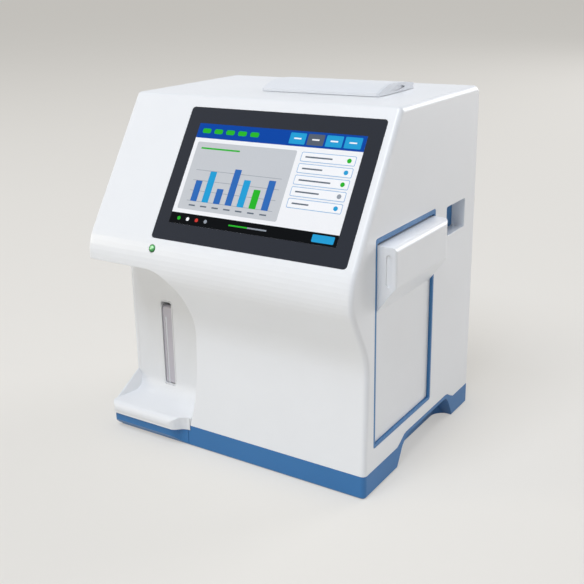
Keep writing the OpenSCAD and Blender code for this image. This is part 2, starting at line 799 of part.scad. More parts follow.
// Tubing from the back of the probe channel to the electrode row
line_out = 13;
line_drop = 12;
line_y = bay_y + slot_deep + line_out;
line_z = pivot_z - line_drop;
holder_z = 146;
line_in = 10;
line_end_z = holder_z - line_in;
line_route = [
  [slot_mid, bay_y + slot_deep, line_z],
  [slot_mid, line_y, line_z],
  [plate_x - holder_deep / 2, line_y, line_z],
  [plate_x - holder_deep / 2, line_y, line_end_z],
  [plate_x - holder_deep / 2, holder_y, line_end_z],
];
module sample_line() color("#D9E2E6") placed() {
  for (i = [0:len(line_route) - 2]) {
    run = line_route[i + 1] - line_route[i];
    translate(line_route[i]) rotate([0, acos(run[2] / norm(run)), atan2(run[1], run[0])])
      cylinder(d = tube_d, h = norm(run));
  }
  for (i = [1:len(line_route) - 2]) translate(line_route[i]) sphere(d = tube_d);
}

/* Screen */

module touch_glass() color(dark) placed() on_console()
  along_z(-glass_t, 0) soft_rect([glass_x0, glass_low], [glass_x1, -glass_drop], glass_r);

module lcd_module() color("#22252B") placed() on_console() {
  along_z(-wall - lcd_t, -wall)
    soft_rect([lit_x0 - lcd_ledge, lit_low - lcd_ledge],
      [lit_x0 + lit_w + lcd_ledge, lit_low + lit_h + lcd_ledge], 2);
  along_z(-wall - past, -glass_t)
    soft_rect([lit_x0 + seam, lit_low + seam], [lit_x0 + lit_w - seam, lit_low + lit_h - seam], 1);
}

tray_x = 9;
tray_y = 8;
module screen_bracket() color(steel) placed() on_console() {
  back = -wall - lcd_t;
  along_z(back - sheet_t, back)
    soft_rect([lit_x0 - tray_x, lit_low - tray_y], [lit_x0 + lit_w + tray_x, lit_low + lit_h + tray_y], 2);
  for (y = [lit_low - tray_y, lit_low + lit_h + tray_y - sheet_t])
    box([lit_x0, y, back], [lit_x0 + lit_w, y + sheet_t, -wall]);
}

module status_led() color("#3FB24B") placed() on_console() translate([led_x, led_low, -led_sink]) {
  dome_r = (led_d * led_d / 4 + led_dome * led_dome) / (2 * led_dome);
  translate([0, 0, -wall - led_stem]) cylinder(d = led_d, h = wall + led_stem);
  intersection() {
    translate([0, 0, led_dome - dome_r]) sphere(dome_r);
    translate([0, 0, -past]) cylinder(d = led_d, h = led_dome + 2 * past);
  }
  translate([0, 0, -wall - led_stem - led_flange]) cylinder(d = led_d + 2 * led_flange, h = led_flange);
}

/* Reagent pack */

pack_x1 = half_w - pack_set;
liner_low = pack_z + rim_t;
liner_high = pack_z + pack_h - rim_top;
front_y0 = pack_y + rim_t + pack_gap;
front_y1 = pack_y + pack_w - rim_t - pack_gap;
front_z0 = liner_low + pack_gap;
front_z1 = liner_high - pack_top_gap;
front_t = 3;
runner_h = 1;
runner_w = 6;
runner_in = 20;
case_low = liner_low + runner_h + cover_gap;
case_back = 6;
case_x0 = pack_x0 + rim_t + case_back;
case_x1 = pack_x1 - front_t;
case_t = 1.8;
port_r = 5;
port_pitch = 26;
port_z = 30;
port_places = [for (k = [-1, 0, 1]) [pack_y + pack_w / 2 + k * port_pitch, pack_z + port_z]];

module pack_bay() color(blue) placed() difference() {
  union() {
    along_x(pack_x0, half_w)
      soft_rect([pack_y, pack_z], [pack_y + pack_w, pack_z + pack_h], rim_t);
    // plate that closes the finger pocket from inside
    box([pocket_x - rim_t, pack_y + pack_w - past, pocket_z - wall],
      [pocket_x, pocket_y + pocket_l + wall, pocket_z + pocket_h + wall]);
  }
  difference() {
    along_x(pack_x0 + rim_t, half_w + past)
      soft_rect([pack_y + rim_t, liner_low], [pack_y + pack_w - rim_t, liner_high], 1);
    for (y = [pack_y + runner_in, pack_y + pack_w - runner_in])
      box([pack_x0 + rim_t, y - runner_w / 2, liner_low - past],
        [case_x1 - runner_h * 4, y + runner_w / 2, liner_low + runner_h]);
  }
  for (p = port_places) rod_x(pack_x0 - past, pack_x0 + rim_t + past, p[0], p[1], port_r * 2);
}

block_x1 = half_w + block_out;
block_t = 2.5;
groove_w = 4.5;
groove_deep = 1;
groove_drop = 6;
groove_x = half_w + block_out * 0.6;
block_r = 4;
block_front_r = 2;
block_rear_r = 11;
module block_profile(d) {
  foot = front_z1 - block_h - wedge_h + d * wedge_h / block_out;
  polygon(concat(
    [[pack_x1 - front_t, foot], [pack_x1, foot], [block_x1 - d, front_z1 - block_h + d / 2]],
    arc(block_x1 - d - block_r, front_z1 - d - block_r, block_r, 0, 90, 8),
    [[pack_x1 - front_t, front_z1 - d]]
  ));
}
module block_plan(d) {
  polygon(concat(
    [[pack_x1 - front_t - past, front_y0 + d]],
    arc(block_x1 - d - block_front_r, front_y0 + d + block_front_r, block_front_r, -90, 0, 5),
    arc(block_x1 - d - block_rear_r, front_y1 - d - block_rear_r, block_rear_r, 0, 90, 8),
    [[pack_x1 - front_t - past, front_y1 - d]]
  ));
}

module pack_front() color(white) placed() {
  difference() {
    union() {
      along_x(pack_x1 - front_t, pack_x1)
        soft_rect([front_y0, front_z0], [front_y1, front_z1], 1.5);
      intersection() {
        along_y(front_y0, front_y1) block_profile(0);
        along_z(front_z0, front_z1) block_plan(0);
      }
    }
    // hollow of the moulded block
    intersection() {
      along_y(front_y0, front_y1) block_profile(block_t);
      along_z(front_z0, front_z1) block_plan(block_t);
    }
    // thumb groove in both ends of the block
    for (y = [front_y0 - past, front_y1 - groove_deep])
      along_y(y, y + groove_deep + past)
        stadium([groove_x, front_z1 - block_h + groove_w / 2],
          [groove_x, front_z1 - groove_drop - groove_w / 2], groove_w);
  }
}

pouch_gap = 1.5;
pouch_w = (pack_w - 2 * rim_t - 2 * pack_gap - 2 * case_t - 4 * pouch_gap) / 3;
case_y0 = front_y0 + pack_gap;
case_y1 = front_y1 - pack_gap;
case_drop = 4;
case_high = front_z1 - case_drop;
pouch_r = 9;
pouch_drop = 12;

module pack_case() color("#DDE0E4") placed() difference() {
  along_x(case_x0, case_x1) soft_rect([case_y0, case_low], [case_y1, case_high], 2);
  along_x(case_x0 + case_t, case_x1 - case_t)
    soft_rect([case_y0 + case_t, case_low + case_t], [case_y1 - case_t, case_high - case_t], 1);
  for (p = port_places)
    rod_x(case_x0 - past, case_x0 + case_t + past, p[0], p[1], 2 * port_r + 2 * pin_gap);
}

module pouch(k) {
  y0 = case_y0 + case_t + pouch_gap / 2 + k * (pouch_w + pouch_gap / 2);
  z0 = case_low + case_t + seam;
  x0 = case_x0 + case_t + pouch_r;
  x1 = case_x1 - case_t - seam;
  intersection() {
    along_x(x0, x1) soft_rect([y0, z0], [y0 + pouch_w, case_high - case_t - pouch_drop], pouch_r);
    along_z(0, body_h) soft_rect([x0, y0], [x1, y0 + pouch_w], pouch_r);
  }
}
module standard_pouch_a() color("#CFE3EE") placed() pouch(0);
module standard_pouch_b() color("#CFE3EE") placed() pouch(1);
module waste_pouch() color("#E6D7A6") placed() pouch(2);

port_needle_d = 2;
port_out = 2;
manifold_edge = 10;
manifold_deep = 12;
module pack_ports() color("#4A4D55") placed()
  for (p = port_places) difference() {
    union() {
      rod_x(case_x0 - port_out, case_x0 + case_t + port_r, p[0], p[1], 2 * port_r);
      rod_x(case_x0 + case_t + seam, case_x0 + case_t + port_out, p[0], p[1], 3 * port_r);
    }
    rod_x(case_x0 - port_out - past, case_x0 + case_t + port_r + past, p[0], p[1],
      port_needle_d + 2 * cover_gap);
  }

module port_manifold() color("#C9CCD1") placed() difference() {
  box([plate_x + sheet_t, port_places[0][0] - manifold_edge, port_places[0][1] - manifold_edge],
    [pack_x0, port_places[2][0] + manifold_edge, port_places[0][1] + manifold_edge]);
  for (p = port_places)
    rod_x(pack_x0 - manifold_deep, pack_x0 + past, p[0], p[1], port_needle_d + 2 * pin_gap);
}

module port_needles() color(steel) placed()
  for (p = port_places) difference() {
    rod_x(pack_x0 - manifold_deep, case_x0 + case_t + port_r - past, p[0], p[1], port_needle_d);
    rod_x(pack_x0 - manifold_deep - past, case_x0 + case_t + port_r, p[0], p[1], port_needle_d / 2);
  }

/* Printer */

lid_z0 = body_h + cover_gap;
lid_lip = 2.4;
crest = 0.4;
crest_y = lid_y + lid_d * crest;
// Crown of the lid, seen from the end, set in by d
module lid_profile(d) {
  front = lid_y + d;
  low = lid_z0 - (d > 0 ? past : 0);
  top = lid_z0 + lid_crown - d;
  lip = lid_z0 + max(lid_lip - d, seam);
  rear = [hinge_y - d, hinge_z + hinge_r - d];
  polygon(concat(
    [[front, low]],
    bend([front, lip], [(front + crest_y) / 2, top], [crest_y, top], 8),
    bend([crest_y, top], [(crest_y + hinge_y) / 2, top], rear, 8),
    [[rear[0], low]]
  ));
}

module printer_lid() color(white) placed() difference() {
  union() {
    difference() {
      along_x(lid_x0, lid_x1 - lid_end) lid_profile(0);
      along_x(lid_x0 + lid_t, lid_x1 - lid_end - lid_t) lid_profile(lid_t);
    }
    rod_x(lid_x0, lid_x1 - lid_end, hinge_y, hinge_z, 2 * hinge_r);
  }
  rod_x(lid_x0 - past, lid_x1 + past, hinge_y, hinge_z, hinge_d + 2 * run_gap);
  for (x = ear_places)
    box([x - ear_w / 2 - cover_gap, hinge_y - hinge_r - lid_t - 1, body_h],
      [x + ear_w / 2 + cover_gap, hinge_y + hinge_r + past, hinge_z + hinge_r + past]);
}

// Lens-shaped recess in the lid's grey end
lens_l = 28;
lens_h = 3;
lens_deep = 1.2;
lens_y = lid_y + lid_d / 2;
module lid_end_grip() color(grey) placed() difference() {
  along_x(lid_x1 - lid_end, lid_x1) lid_profile(0);
  along_x(lid_x1 - lens_deep, lid_x1 + past) translate([lens_y, lid_z0 + lens_h / 2 + lid_t])
    polygon(concat(
      bend([-lens_l / 2, -lens_h / 2], [0, lens_h * 1.5], [lens_l / 2, 0]),
      bend([lens_l / 2, 0], [0, -lens_h], [-lens_l / 2, -lens_h / 2])
    ));
  rod_x(lid_x0 - past, lid_x1 + past, hinge_y, hinge_z, hinge_d + 2 * run_gap);
}

module lid_hinge_pin() color(steel) placed()
  rod_x(lid_x0 + 2 * lid_t, lid_x1 - lid_end - 2 * lid_t, hinge_y, hinge_z, hinge_d);

well_t = 2;
well_rim = 4;
well_low = body_h - well_deep;
module printer_well() color("#D5D7DA") placed() {
  difference() {
    union() {
      box([well_x0, well_y0, well_low], [well_x1, well_y1, body_h]);
      box([well_x0 - well_rim, well_y0 - well_rim, body_h - wall - well_t],
        [well_x1 + well_rim, hinge_y + hinge_r + past, body_h - wall]);
    }
    box([well_x0 + well_t, well_y0 + well_t, well_low + well_t],
      [well_x1 - well_t, well_y1 - well_t, body_h + past]);
  }
  for (x = ear_places) difference() {
    along_x(x - ear_w / 2, x + ear_w / 2) {
      translate([hinge_y - hinge_r, body_h - wall - past])
        square([2 * hinge_r, hinge_z - body_h + wall + past]);
      translate([hinge_y, hinge_z]) circle(hinge_r);
    }
    rod_x(x - ear_w, x + ear_w, hinge_y, hinge_z, hinge_d + 2 * pin_gap);
  }
}

roll_mid = (well_x0 + well_x1) / 2;
roll_room = 4;
roll_y = well_y1 - well_t - roll_room - roll_d / 2;
roll_z = well_low + well_t + roll_room + roll_d / 2;
core_d = 12;
module paper_roll() color("#FBFBF8") placed() difference() {
  rod_x(roll_mid - roll_w / 2, roll_mid + roll_w / 2, roll_y, roll_z, roll_d);
  rod_x(roll_mid - roll_w, roll_mid + roll_w, roll_y, roll_z, core_d + 2 * run_gap);
}

module paper_spindle() color(dark) placed()
  rod_x(well_x0 + well_t + seam, well_x1 - well_t - seam, roll_y, roll_z, core_d);

platen_room = 2.2;
platen_y = well_y0 + well_t + platen_d / 2 + platen_room;
platen_z = body_h - platen_d / 2 - past;
cheek_t = 3;
cheek_h = 12;
cheek_gap = 0.5;
shaft_d = 4;
module platen_roller() color("#3B3C40") placed() {
  rod_x(roll_mid - roll_w / 2, roll_mid + roll_w / 2, platen_y, platen_z, platen_d);
  rod_x(roll_mid - roll_w / 2 - shaft_d, roll_mid + roll_w / 2 + shaft_d, platen_y, platen_z, shaft_d);
}

module printer_mechanism() color("#5C6066") placed() {
  y0 = well_y0 + well_t;
  z0 = platen_z - cheek_h;
  z1 = platen_z + cheek_t;
  side = roll_w / 2 + cheek_gap;
  box([roll_mid - side - cheek_t - past, y0, z0], [roll_mid + side + cheek_t + past, y0 + sheet_t, z1]);
  for (x = [roll_mid - side - cheek_t, roll_mid + side]) difference() {
    box([x, y0, z0], [x + cheek_t, platen_y + shaft_d, z1]);
    rod_x(x - past, x + cheek_t + past, platen_y, platen_z, shaft_d + 2 * run_gap);
  }
}

/* Fluidics */

module chassis_plate() color(steel) placed() {
  box([plate_x, chassis_y, pad_top], [plate_x + sheet_t, chassis_y + chassis_d, chassis_top]);
  box([plate_x - foot_w, chassis_y, pad_top],
    [plate_x + sheet_t, chassis_y + chassis_d, pad_top + sheet_t]);
}

electrode_places = [for (k = [0:electrode_n - 1]) holder_y + electrode_in + k * electrode_pitch];
reference_in = 11;
reference_y = holder_y + holder_w - reference_in;
reference_d = 14;
electrode_seat = 12;
electrode_out = 18;
cap_l = 6;
clamp_x = plate_x - holder_deep - electrode_out - cap_l;
clamp_post = 4;
clamp_h = 10;
clamp_posts = [holder_y - clamp_post, holder_y + holder_w + clamp_post];

module electrode_holder() color("#E9E7E0") placed() difference() {
  box([plate_x - holder_deep, holder_y, holder_z - holder_h / 2],
    [plate_x, holder_y + holder_w, holder_z + holder_h / 2]);
  for (y = electrode_places)
    rod_x(plate_x - holder_deep - past, plate_x - electrode_seat, y, holder_z, electrode_d + 2 * run_gap);
  rod_x(plate_x - holder_deep - past, plate_x - electrode_seat, reference_y, holder_z,
    reference_d + 2 * run_gap);
}

module ion_electrodes() color("#D8C7A0") placed() for (y = electrode_places) {
  rod_x(plate_x - holder_deep - electrode_out, plate_x - electrode_seat, y, holder_z, electrode_d);
  rod_x(clamp_x, clamp_x + cap_l + past, y, holder_z, electrode_d + 2);
}

module reference_electrode() color("#B7785A") placed() {
  rod_x(clamp_x, plate_x - electrode_seat, reference_y, holder_z, reference_d);
}

module electrode_clamp() color(grey) placed() {
  box([clamp_x - clamp_post, clamp_posts[0] - clamp_post, holder_z - clamp_h / 2],
    [clamp_x, clamp_posts[1] + clamp_post, holder_z + clamp_h / 2]);
  for (y = clamp_posts) rod_x(clamp_x - past, plate_x, y, holder_z, clamp_post);
}

motor_l = 38;
head_l = 24;
pump_x = plate_x - motor_l;
head_w = 50;
pump_bore = 40;
pump_shaft = 6;
shaft_in = 18;
head_wall = 3;
module pump_motor() color("#4B4F57") placed() difference() {
  rod_x(pump_x, plate_x, pump_y, pump_z, motor_d);
  rod_x(pump_x - past, pump_x + shaft_in + 2 * past, pump_y, pump_z, pump_shaft + 2 * run_gap);
}

module pump_housing() color("#D5D7DA") placed() difference() {
  along_x(pump_x - head_l, pump_x)
    soft_rect([pump_y - head_w / 2, pump_z - head_w / 2], [pump_y + head_w / 2, pump_z + head_w / 2], 5);
  rod_x(pump_x - head_l - past, pump_x - head_wall, pump_y, pump_z, pump_bore);
  rod_x(pump_x - head_l, pump_x + past, pump_y, pump_z, pump_shaft + 2 * past);
  for (side = [-1, 1])
    translate([pump_x - head_l - past, pump_y + side * tube_run - tube_d, pump_z - head_w])
      cube([head_l - 2 * head_wall, 2 * tube_d, head_w]);
}

tube_run = roller_circle / 2 + roller_d / 2 + cover_gap + tube_d / 2;
tube_x = pump_x - head_l / 2 - past;
module pump_tube() color("#E9D9B0") placed() translate([tube_x, pump_y, pump_z]) {
  rotate([90, 0, 90]) rotate_extrude(angle = 180) translate([tube_run, 0]) circle(d = tube_d);
  for (side = [-1, 1]) translate([0, side * tube_run, -head_w / 2]) cylinder(d = tube_d, h = head_w / 2);
}

disc_t = 2;
disc_gap = 0.5;
roller_x0 = pump_x - head_l + 2 * disc_t;
roller_x1 = pump_x - head_wall - 2 * disc_t;
roller_pin = 3;
roller_n = 3;
module on_rollers() for (k = [0:roller_n - 1])
  translate([0, pump_y, pump_z]) rotate([(k + 1 / 4) * 360 / roller_n, 0, 0])
    translate([0, 0, roller_circle / 2]) children();

module pump_rotor() color(grey) placed() {
  rod_x(pump_x - head_l + past, pump_x + shaft_in, pump_y, pump_z, pump_shaft);
  for (x = [roller_x0 - disc_t - disc_gap, roller_x1 + disc_gap])
    rod_x(x, x + disc_t, pump_y, pump_z, roller_circle + 2 * roller_pin);
  on_rollers() rod_x(roller_x0 - past, roller_x1 + past, 0, 0, roller_pin);
}

module pump_rollers() color(white) placed() on_rollers() difference() {
  rod_x(roller_x0, roller_x1, 0, 0, roller_d);
  rod_x(roller_x0 - past, roller_x1 + past, 0, 0, roller_pin + 2 * run_gap);
}

valve_d = 18;
valve_l = 24;
valve_lip = 2;
plunger_d = 6;
plunger_l = 16;
plunger_out = 6;
plunger_seat = 6;
module pinch_valve() color(dark) placed() difference() {
  union() {
    rod_x(plate_x - valve_l, plate_x, valve_y, pump_z, valve_d);
    box([plate_x - valve_l - valve_lip, valve_y - valve_d / 2, pump_z - valve_d / 2],
      [plate_x - valve_l + past, valve_y + valve_d / 2, pump_z + valve_d / 2]);
  }
  rod_x(plate_x - valve_l - valve_lip - past, plate_x - plunger_seat, valve_y, pump_z,
    plunger_d + 2 * run_gap);
}
module valve_plunger() color(steel) placed() {
  tip = plate_x - valve_l - plunger_out;
  rod_x(tip, tip + plunger_l, valve_y, pump_z, plunger_d);
  rod_x(tip - valve_lip, tip, valve_y, pump_z, plunger_d + 2 * valve_lip);
}

/* Electrics */

panel_t = 1.5;
rear_screw_places = [
  for (x = [-panel_w / 2 + panel_frame / 2, 0, panel_w / 2 - panel_frame / 2])
    for (z = [panel_z + panel_frame / 2, panel_z + panel_h - panel_frame / 2]) [x, z]
];
fan_x = 60;
fan_z = 168;
fan_bore = fan_w - 5;
inlet_x = 72;
inlet_z = 66;
inlet_w = 27;
inlet_h = 20;
switch_x = 36;
switch_w = 13;
switch_h = 19;
board_x0 = -94;
board_w = 118;
board_z0 = 64;
board_h = 128;
board_set = 28;
board_y = panel_y - board_set;
board_t = 1.6;
// Sockets on the board as [x, z, width, height]; the wide ones are solid serial connectors
serial_w = 30;
ports = [[-70, 82, serial_w, 12], [-40, 82, 14.5, 7.4], [-20, 82, 14.5, 7.4], [6, 82, serial_w, 12]];

grille_n = 4;
grille_pitch = 5.6;
intake_n = 10;
intake_x = -84;
intake_z = 132;
intake_h = 44;
module rear_panel() color("#C4C8CC") placed() difference() {
  along_y(panel_y, panel_y + panel_t)
    soft_rect([-panel_w / 2, panel_z], [panel_w / 2, panel_z + panel_h], 3);
  for (p = rear_screw_places) rod_y(panel_y - past, body_d, p[0], p[1], screw_d + 2 * pin_gap);
  for (p = ports) along_y(panel_y - past, body_d)
    translate([p[0] - p[2] / 2 - seam, p[1] - p[3] / 2 - seam]) square([p[2] + 2 * seam, p[3] + 2 * seam]);
  along_y(panel_y - past, body_d)
    translate([inlet_x - inlet_w / 2 - seam, inlet_z - inlet_h / 2 - seam])
      square([inlet_w + 2 * seam, inlet_h + 2 * seam]);
  along_y(panel_y - past, body_d)
    translate([switch_x - switch_w / 2 - seam, inlet_z - switch_h / 2 - seam])
      square([switch_w + 2 * seam, switch_h + 2 * seam]);
  // fan outlet: rows of slots inside a circle
  for (k = [-grille_n:grille_n]) {
    reach = sqrt(pow(fan_bore / 2 - 2, 2) - pow(k * grille_pitch, 2));
    along_y(panel_y - past, body_d)
      stadium([fan_x - reach, fan_z + k * grille_pitch], [fan_x + reach, fan_z + k * grille_pitch], vent_w);
  }
  // air inlet slots
  for (k = [0:intake_n - 1]) along_y(panel_y - past, body_d)
    stadium([intake_x + k * vent_pitch, intake_z],
      [intake_x + k * vent_pitch, intake_z + intake_h], vent_w);
}

module rear_screws() color(steel) placed() for (p = rear_screw_places) {
  rod_y(panel_y - wall, panel_y + panel_t + seam, p[0], p[1], screw_d);
  rod_y(panel_y + panel_t, body_d - seam, p[0], p[1], screw_head - 2 * seam);
}

// Chips on the board as [x, z, edge length]
chips = [[18, 70, 22], [58, 76, 28], [92, 40, 16], [30, 30, 14]];
chip_t = 2;
stud_d = 6;
module main_board() color("#2F6B45") placed() {
  box([board_x0, board_y, board_z0], [board_x0 + board_w, board_y + board_t, board_z0 + board_h]);
  for (c = chips)
    box([board_x0 + c[0], board_y - chip_t, board_z0 + c[1]],
      [board_x0 + c[0] + c[2], board_y, board_z0 + c[1] + c[2]]);
}

module board_standoffs() color("#B79A55") placed()
  for (x = [board_x0 + stud_d, board_x0 + board_w - stud_d])
    for (z = [board_z0 + stud_d, board_z0 + board_h - stud_d])
      rod_y(board_y + board_t, panel_y, x, z, stud_d);

socket_proud = 0.8;
socket_deep = 10;
socket_rim = 1;
tongue = 1.8;
serial_face = [[-8.5, 4], [8.5, 4], [7.5, -4], [-7.5, -4]];
module data_ports() color(steel) placed() for (p = ports) {
  front = panel_y + panel_t + socket_proud;
  deep = socket_deep;
  rim = socket_rim;
  difference() {
    box([p[0] - p[2] / 2, board_y + board_t, p[1] - p[3] / 2],
      [p[0] + p[2] / 2, front, p[1] + p[3] / 2]);
    if (p[2] < serial_w)
      box([p[0] - p[2] / 2 + rim, front - deep, p[1] - p[3] / 2 + rim],
        [p[0] + p[2] / 2 - rim, body_d, p[1] + p[3] / 2 - rim]);
    if (p[2] == serial_w)
      along_y(front - rim, body_d) difference() {
        translate([p[0] - p[2] / 2 + rim, p[1] - p[3] / 2 + rim]) square([p[2] - 2 * rim, p[3] - 2 * rim]);
        translate([p[0], p[1]]) polygon(serial_face);
      }
  }
  if (p[2] < serial_w)
    box([p[0] - p[2] / 2 + 2 * rim, front - deep - rim, p[1] - tongue / 2],
      [p[0] + p[2] / 2 - 2 * rim, front - rim, p[1] + tongue / 2]);
}

supply_h = 33;
vent_in = 20;
vent_pitch = 8;
vent_n = 12;
vent_w = 3;
module power_supply() color(grey) placed() difference() {
  box([supply_x, chassis_y, pad_top], [supply_x + supply_w, chassis_y + chassis_d, pad_top + supply_h]);
  first = chassis_y + (chassis_d - (vent_n - 1) * vent_pitch) / 2;
  for (k = [0:vent_n - 1]) along_z(pad_top + supply_h - past, pad_top + supply_h + past)
    stadium([supply_x + vent_in, first + k * vent_pitch],
      [supply_x + supply_w - vent_in, first + k * vent_pitch], vent_w);
}

inlet_flange = 2;
inlet_deep = 18;
pocket_in = 14;
pocket_w = 23;
pocket_t = 15;
prongs = [[-7, -2], [0, 2], [7, -2]];
prong_t = 2;
prong_l = 9;
module power_inlet() color("#26282B") placed() difference() {
  union() {
    along_y(panel_y - inlet_deep, panel_y + panel_t + inlet_flange / 2)
      translate([inlet_x - inlet_w / 2, inlet_z - inlet_h / 2]) square([inlet_w, inlet_h]);
    along_y(panel_y + panel_t, body_d - 2 * seam)
      soft_rect([inlet_x - inlet_w / 2 - inlet_flange, inlet_z - inlet_h / 2 - inlet_flange],
        [inlet_x + inlet_w / 2 + inlet_flange, inlet_z + inlet_h / 2 + inlet_flange], 2);
  }
  difference() {
    along_y(panel_y - pocket_in, body_d + past)
      soft_rect([inlet_x - pocket_w / 2, inlet_z - pocket_t / 2],
        [inlet_x + pocket_w / 2, inlet_z + pocket_t / 2], 3);
    for (p = prongs)
      box([inlet_x + p[0] - prong_t / 2, panel_y - pocket_in - past, inlet_z + p[1] - prong_t],
        [inlet_x + p[0] + prong_t / 2, panel_y - pocket_in + prong_l, inlet_z + p[1] + prong_t]);
  }
}

rocker_y = panel_y - 1;
rocker_tip = 8;
rocker_pin = 2;
rocker_lift = 1.8;
rocker_root = 3;
switch_deep = 16;
switch_well = 10;
switch_lip = 1.5;
switch_wall = 1;
module switch_face(g) translate([switch_x - switch_w / 2 - g, inlet_z - switch_h / 2 - g])
  square([switch_w + 2 * g, switch_h + 2 * g]);

module switch_frame() color("#26282B") placed() difference() {
  union() {
    along_y(panel_y - switch_deep, panel_y + panel_t + seam) switch_face(0);
    along_y(panel_y + panel_t, panel_y + panel_t + 1.2) switch_face(switch_lip);
  }
  along_y(panel_y - switch_well, body_d) switch_face(-switch_wall);
  rod_x(switch_x - switch_w, switch_x + switch_w, rocker_y, inlet_z, rocker_pin + 2 * run_gap);
}

module power_rocker() color("#3A3C40") placed()
  translate([0, rocker_y, inlet_z]) rotate([rocker_tip, 0, 0]) {
  half = switch_h / 2 - rocker_lift;
  side = switch_w / 2 - switch_wall - cover_gap;
  along_x(switch_x - side, switch_x + side)
    polygon(concat(
      [[-rocker_root, -rocker_root], [0, -half]],
      bend([rocker_lift, -half], [rocker_lift / 3, 0], [rocker_lift, half]),
      [[0, half], [-rocker_root, rocker_root]]
    ));
  rod_x(switch_x - switch_w / 2 + seam, switch_x + switch_w / 2 - seam, 0, 0, rocker_pin);
}

fan_hub = 24;
fan_axle = 3;
spoke_t = 2;
spoke_w = 4;
blade_w = 9;
blade_t = 1.2;
blade_pitch = 35;
module fan_frame() color("#26282B") placed() difference() {
  union() {
    difference() {
      along_y(panel_y - fan_t, panel_y)
        soft_rect([fan_x - fan_w / 2, fan_z - fan_w / 2], [fan_x + fan_w / 2, fan_z + fan_w / 2], 4);
      rod_y(panel_y - fan_t - past, panel_y + past, fan_x, fan_z, fan_bore);
    }
    rod_y(panel_y - fan_t, panel_y - fan_t + spoke_t, fan_x, fan_z, fan_hub);
    for (a = [45, 135]) translate([fan_x, panel_y - fan_t + spoke_t / 2, fan_z]) rotate([0, a, 0])
      cube([fan_bore + spoke_t, spoke_t, spoke_w], center = true);
  }
  rod_y(panel_y - fan_t - past, panel_y, fan_x, fan_z, fan_axle + 2 * run_gap);
}

module fan_rotor() color("#303236") placed() {
  rod_y(panel_y - fan_t + spoke_t + cover_gap, panel_y - past, fan_x, fan_z, fan_hub);
  rod_y(panel_y - fan_t + cover_gap, panel_y - fan_t + 2 * spoke_t, fan_x, fan_z, fan_axle);
  for (k = [0:fan_blades - 1])
    translate([fan_x, panel_y - fan_t / 2, fan_z]) rotate([0, k * 360 / fan_blades, 0])
      translate([(fan_hub + fan_bore) / 4 - past, 0, 0]) rotate([blade_pitch, 0, 0])
        cube([(fan_bore - fan_hub) / 2, blade_w, blade_t], center = true);
}

base_pan();
rubber_feet();
base_screws();
housing();
sample_bay();
slot_bezel();
probe_arm();
probe_needle();
probe_pivot();
sample_line();
touch_glass();
lcd_module();
screen_bracket();
status_led();
pack_bay();
pack_front();
pack_case();
standard_pouch_a();
standard_pouch_b();
waste_pouch();
pack_ports();
port_manifold();
port_needles();
printer_lid();
lid_end_grip();
lid_hinge_pin();
printer_well();
printer_mechanism();
platen_roller();
paper_roll();
paper_spindle();
chassis_plate();
electrode_holder();
ion_electrodes();
reference_electrode();
electrode_clamp();
pump_motor();
pump_housing();
pump_rotor();
pump_rollers();
pump_tube();
pinch_valve();
valve_plunger();
rear_panel();
rear_screws();
main_board();
board_standoffs();
data_ports();
power_supply();
power_inlet();
switch_frame();
power_rocker();
fan_frame();
fan_rotor();
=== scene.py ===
import math

import bmesh
import bpy
from mathutils import Matrix, Vector


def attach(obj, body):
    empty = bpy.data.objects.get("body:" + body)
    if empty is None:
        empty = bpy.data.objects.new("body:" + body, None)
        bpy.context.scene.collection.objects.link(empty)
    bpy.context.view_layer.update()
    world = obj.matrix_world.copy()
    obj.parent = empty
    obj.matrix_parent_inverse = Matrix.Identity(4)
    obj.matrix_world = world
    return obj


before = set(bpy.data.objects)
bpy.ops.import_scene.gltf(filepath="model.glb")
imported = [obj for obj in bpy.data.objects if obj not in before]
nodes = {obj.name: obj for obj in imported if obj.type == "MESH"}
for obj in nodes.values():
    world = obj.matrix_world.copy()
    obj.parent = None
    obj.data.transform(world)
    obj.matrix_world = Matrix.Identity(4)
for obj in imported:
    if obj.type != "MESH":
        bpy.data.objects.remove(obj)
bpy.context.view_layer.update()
scene = bpy.context.scene
perMetre = 1000  # millimetres in a metre
print("frame loaded:", len(nodes), "nodes")


# colours are written as they look on screen, and turned to linear light here
def tone(code):
    channels = [int(code[i:i + 2], 16) / 255 for i in (1, 3, 5)]
    linear = [c / 12.92 if c <= 0.04045 else ((c + 0.055) / 1.055) ** 2.4 for c in channels]
    return (*linear, 1.0)


def shade(colour, factor):
    return (*(min(1.0, c * factor) for c in colour[:3]), 1.0)


# console plane in metres and degrees: across to the right, up the slope, out of the console
console = dict(topBack=-0.0385434, topHeight=0.3035, shift=-0.00775, tilt=33.3)
tilt = math.radians(console["tilt"])
consoleAt = Matrix((
    (1, 0, 0, console["shift"]),
    (0, math.sin(tilt), -math.cos(tilt), console["topBack"]),
    (0, math.cos(tilt), math.sin(tilt), console["topHeight"]),
    (0, 0, 0, 1),
))


def onConsole(x, y, out):  # millimetres on the console to metres in the frame
    return consoleAt @ Vector((x / perMetre, y / perMetre, out / perMetre))


# node helpers shared by all finishes
def newFinish(name):
    mat = bpy.data.materials.new(name)
    mat.use_nodes = True
    tree = mat.node_tree
    return mat, tree, tree.nodes["Principled BSDF"]


def place(tree, stretch=(1, 1, 1), turn=(0, 0, 0)):
    coords = tree.nodes.new("ShaderNodeTexCoord")
    mapping = tree.nodes.new("ShaderNodeMapping")
    mapping.inputs["Scale"].default_value = stretch
    mapping.inputs["Rotation"].default_value = turn
    tree.links.new(coords.outputs["Object"], mapping.inputs["Vector"])
    return mapping.outputs["Vector"]


def noise(tree, vector, scale, detail):
    node = tree.nodes.new("ShaderNodeTexNoise")
    node.inputs["Scale"].default_value = scale
    node.inputs["Detail"].default_value = detail
    tree.links.new(vector, node.inputs["Vector"])
    return node.outputs["Fac"]


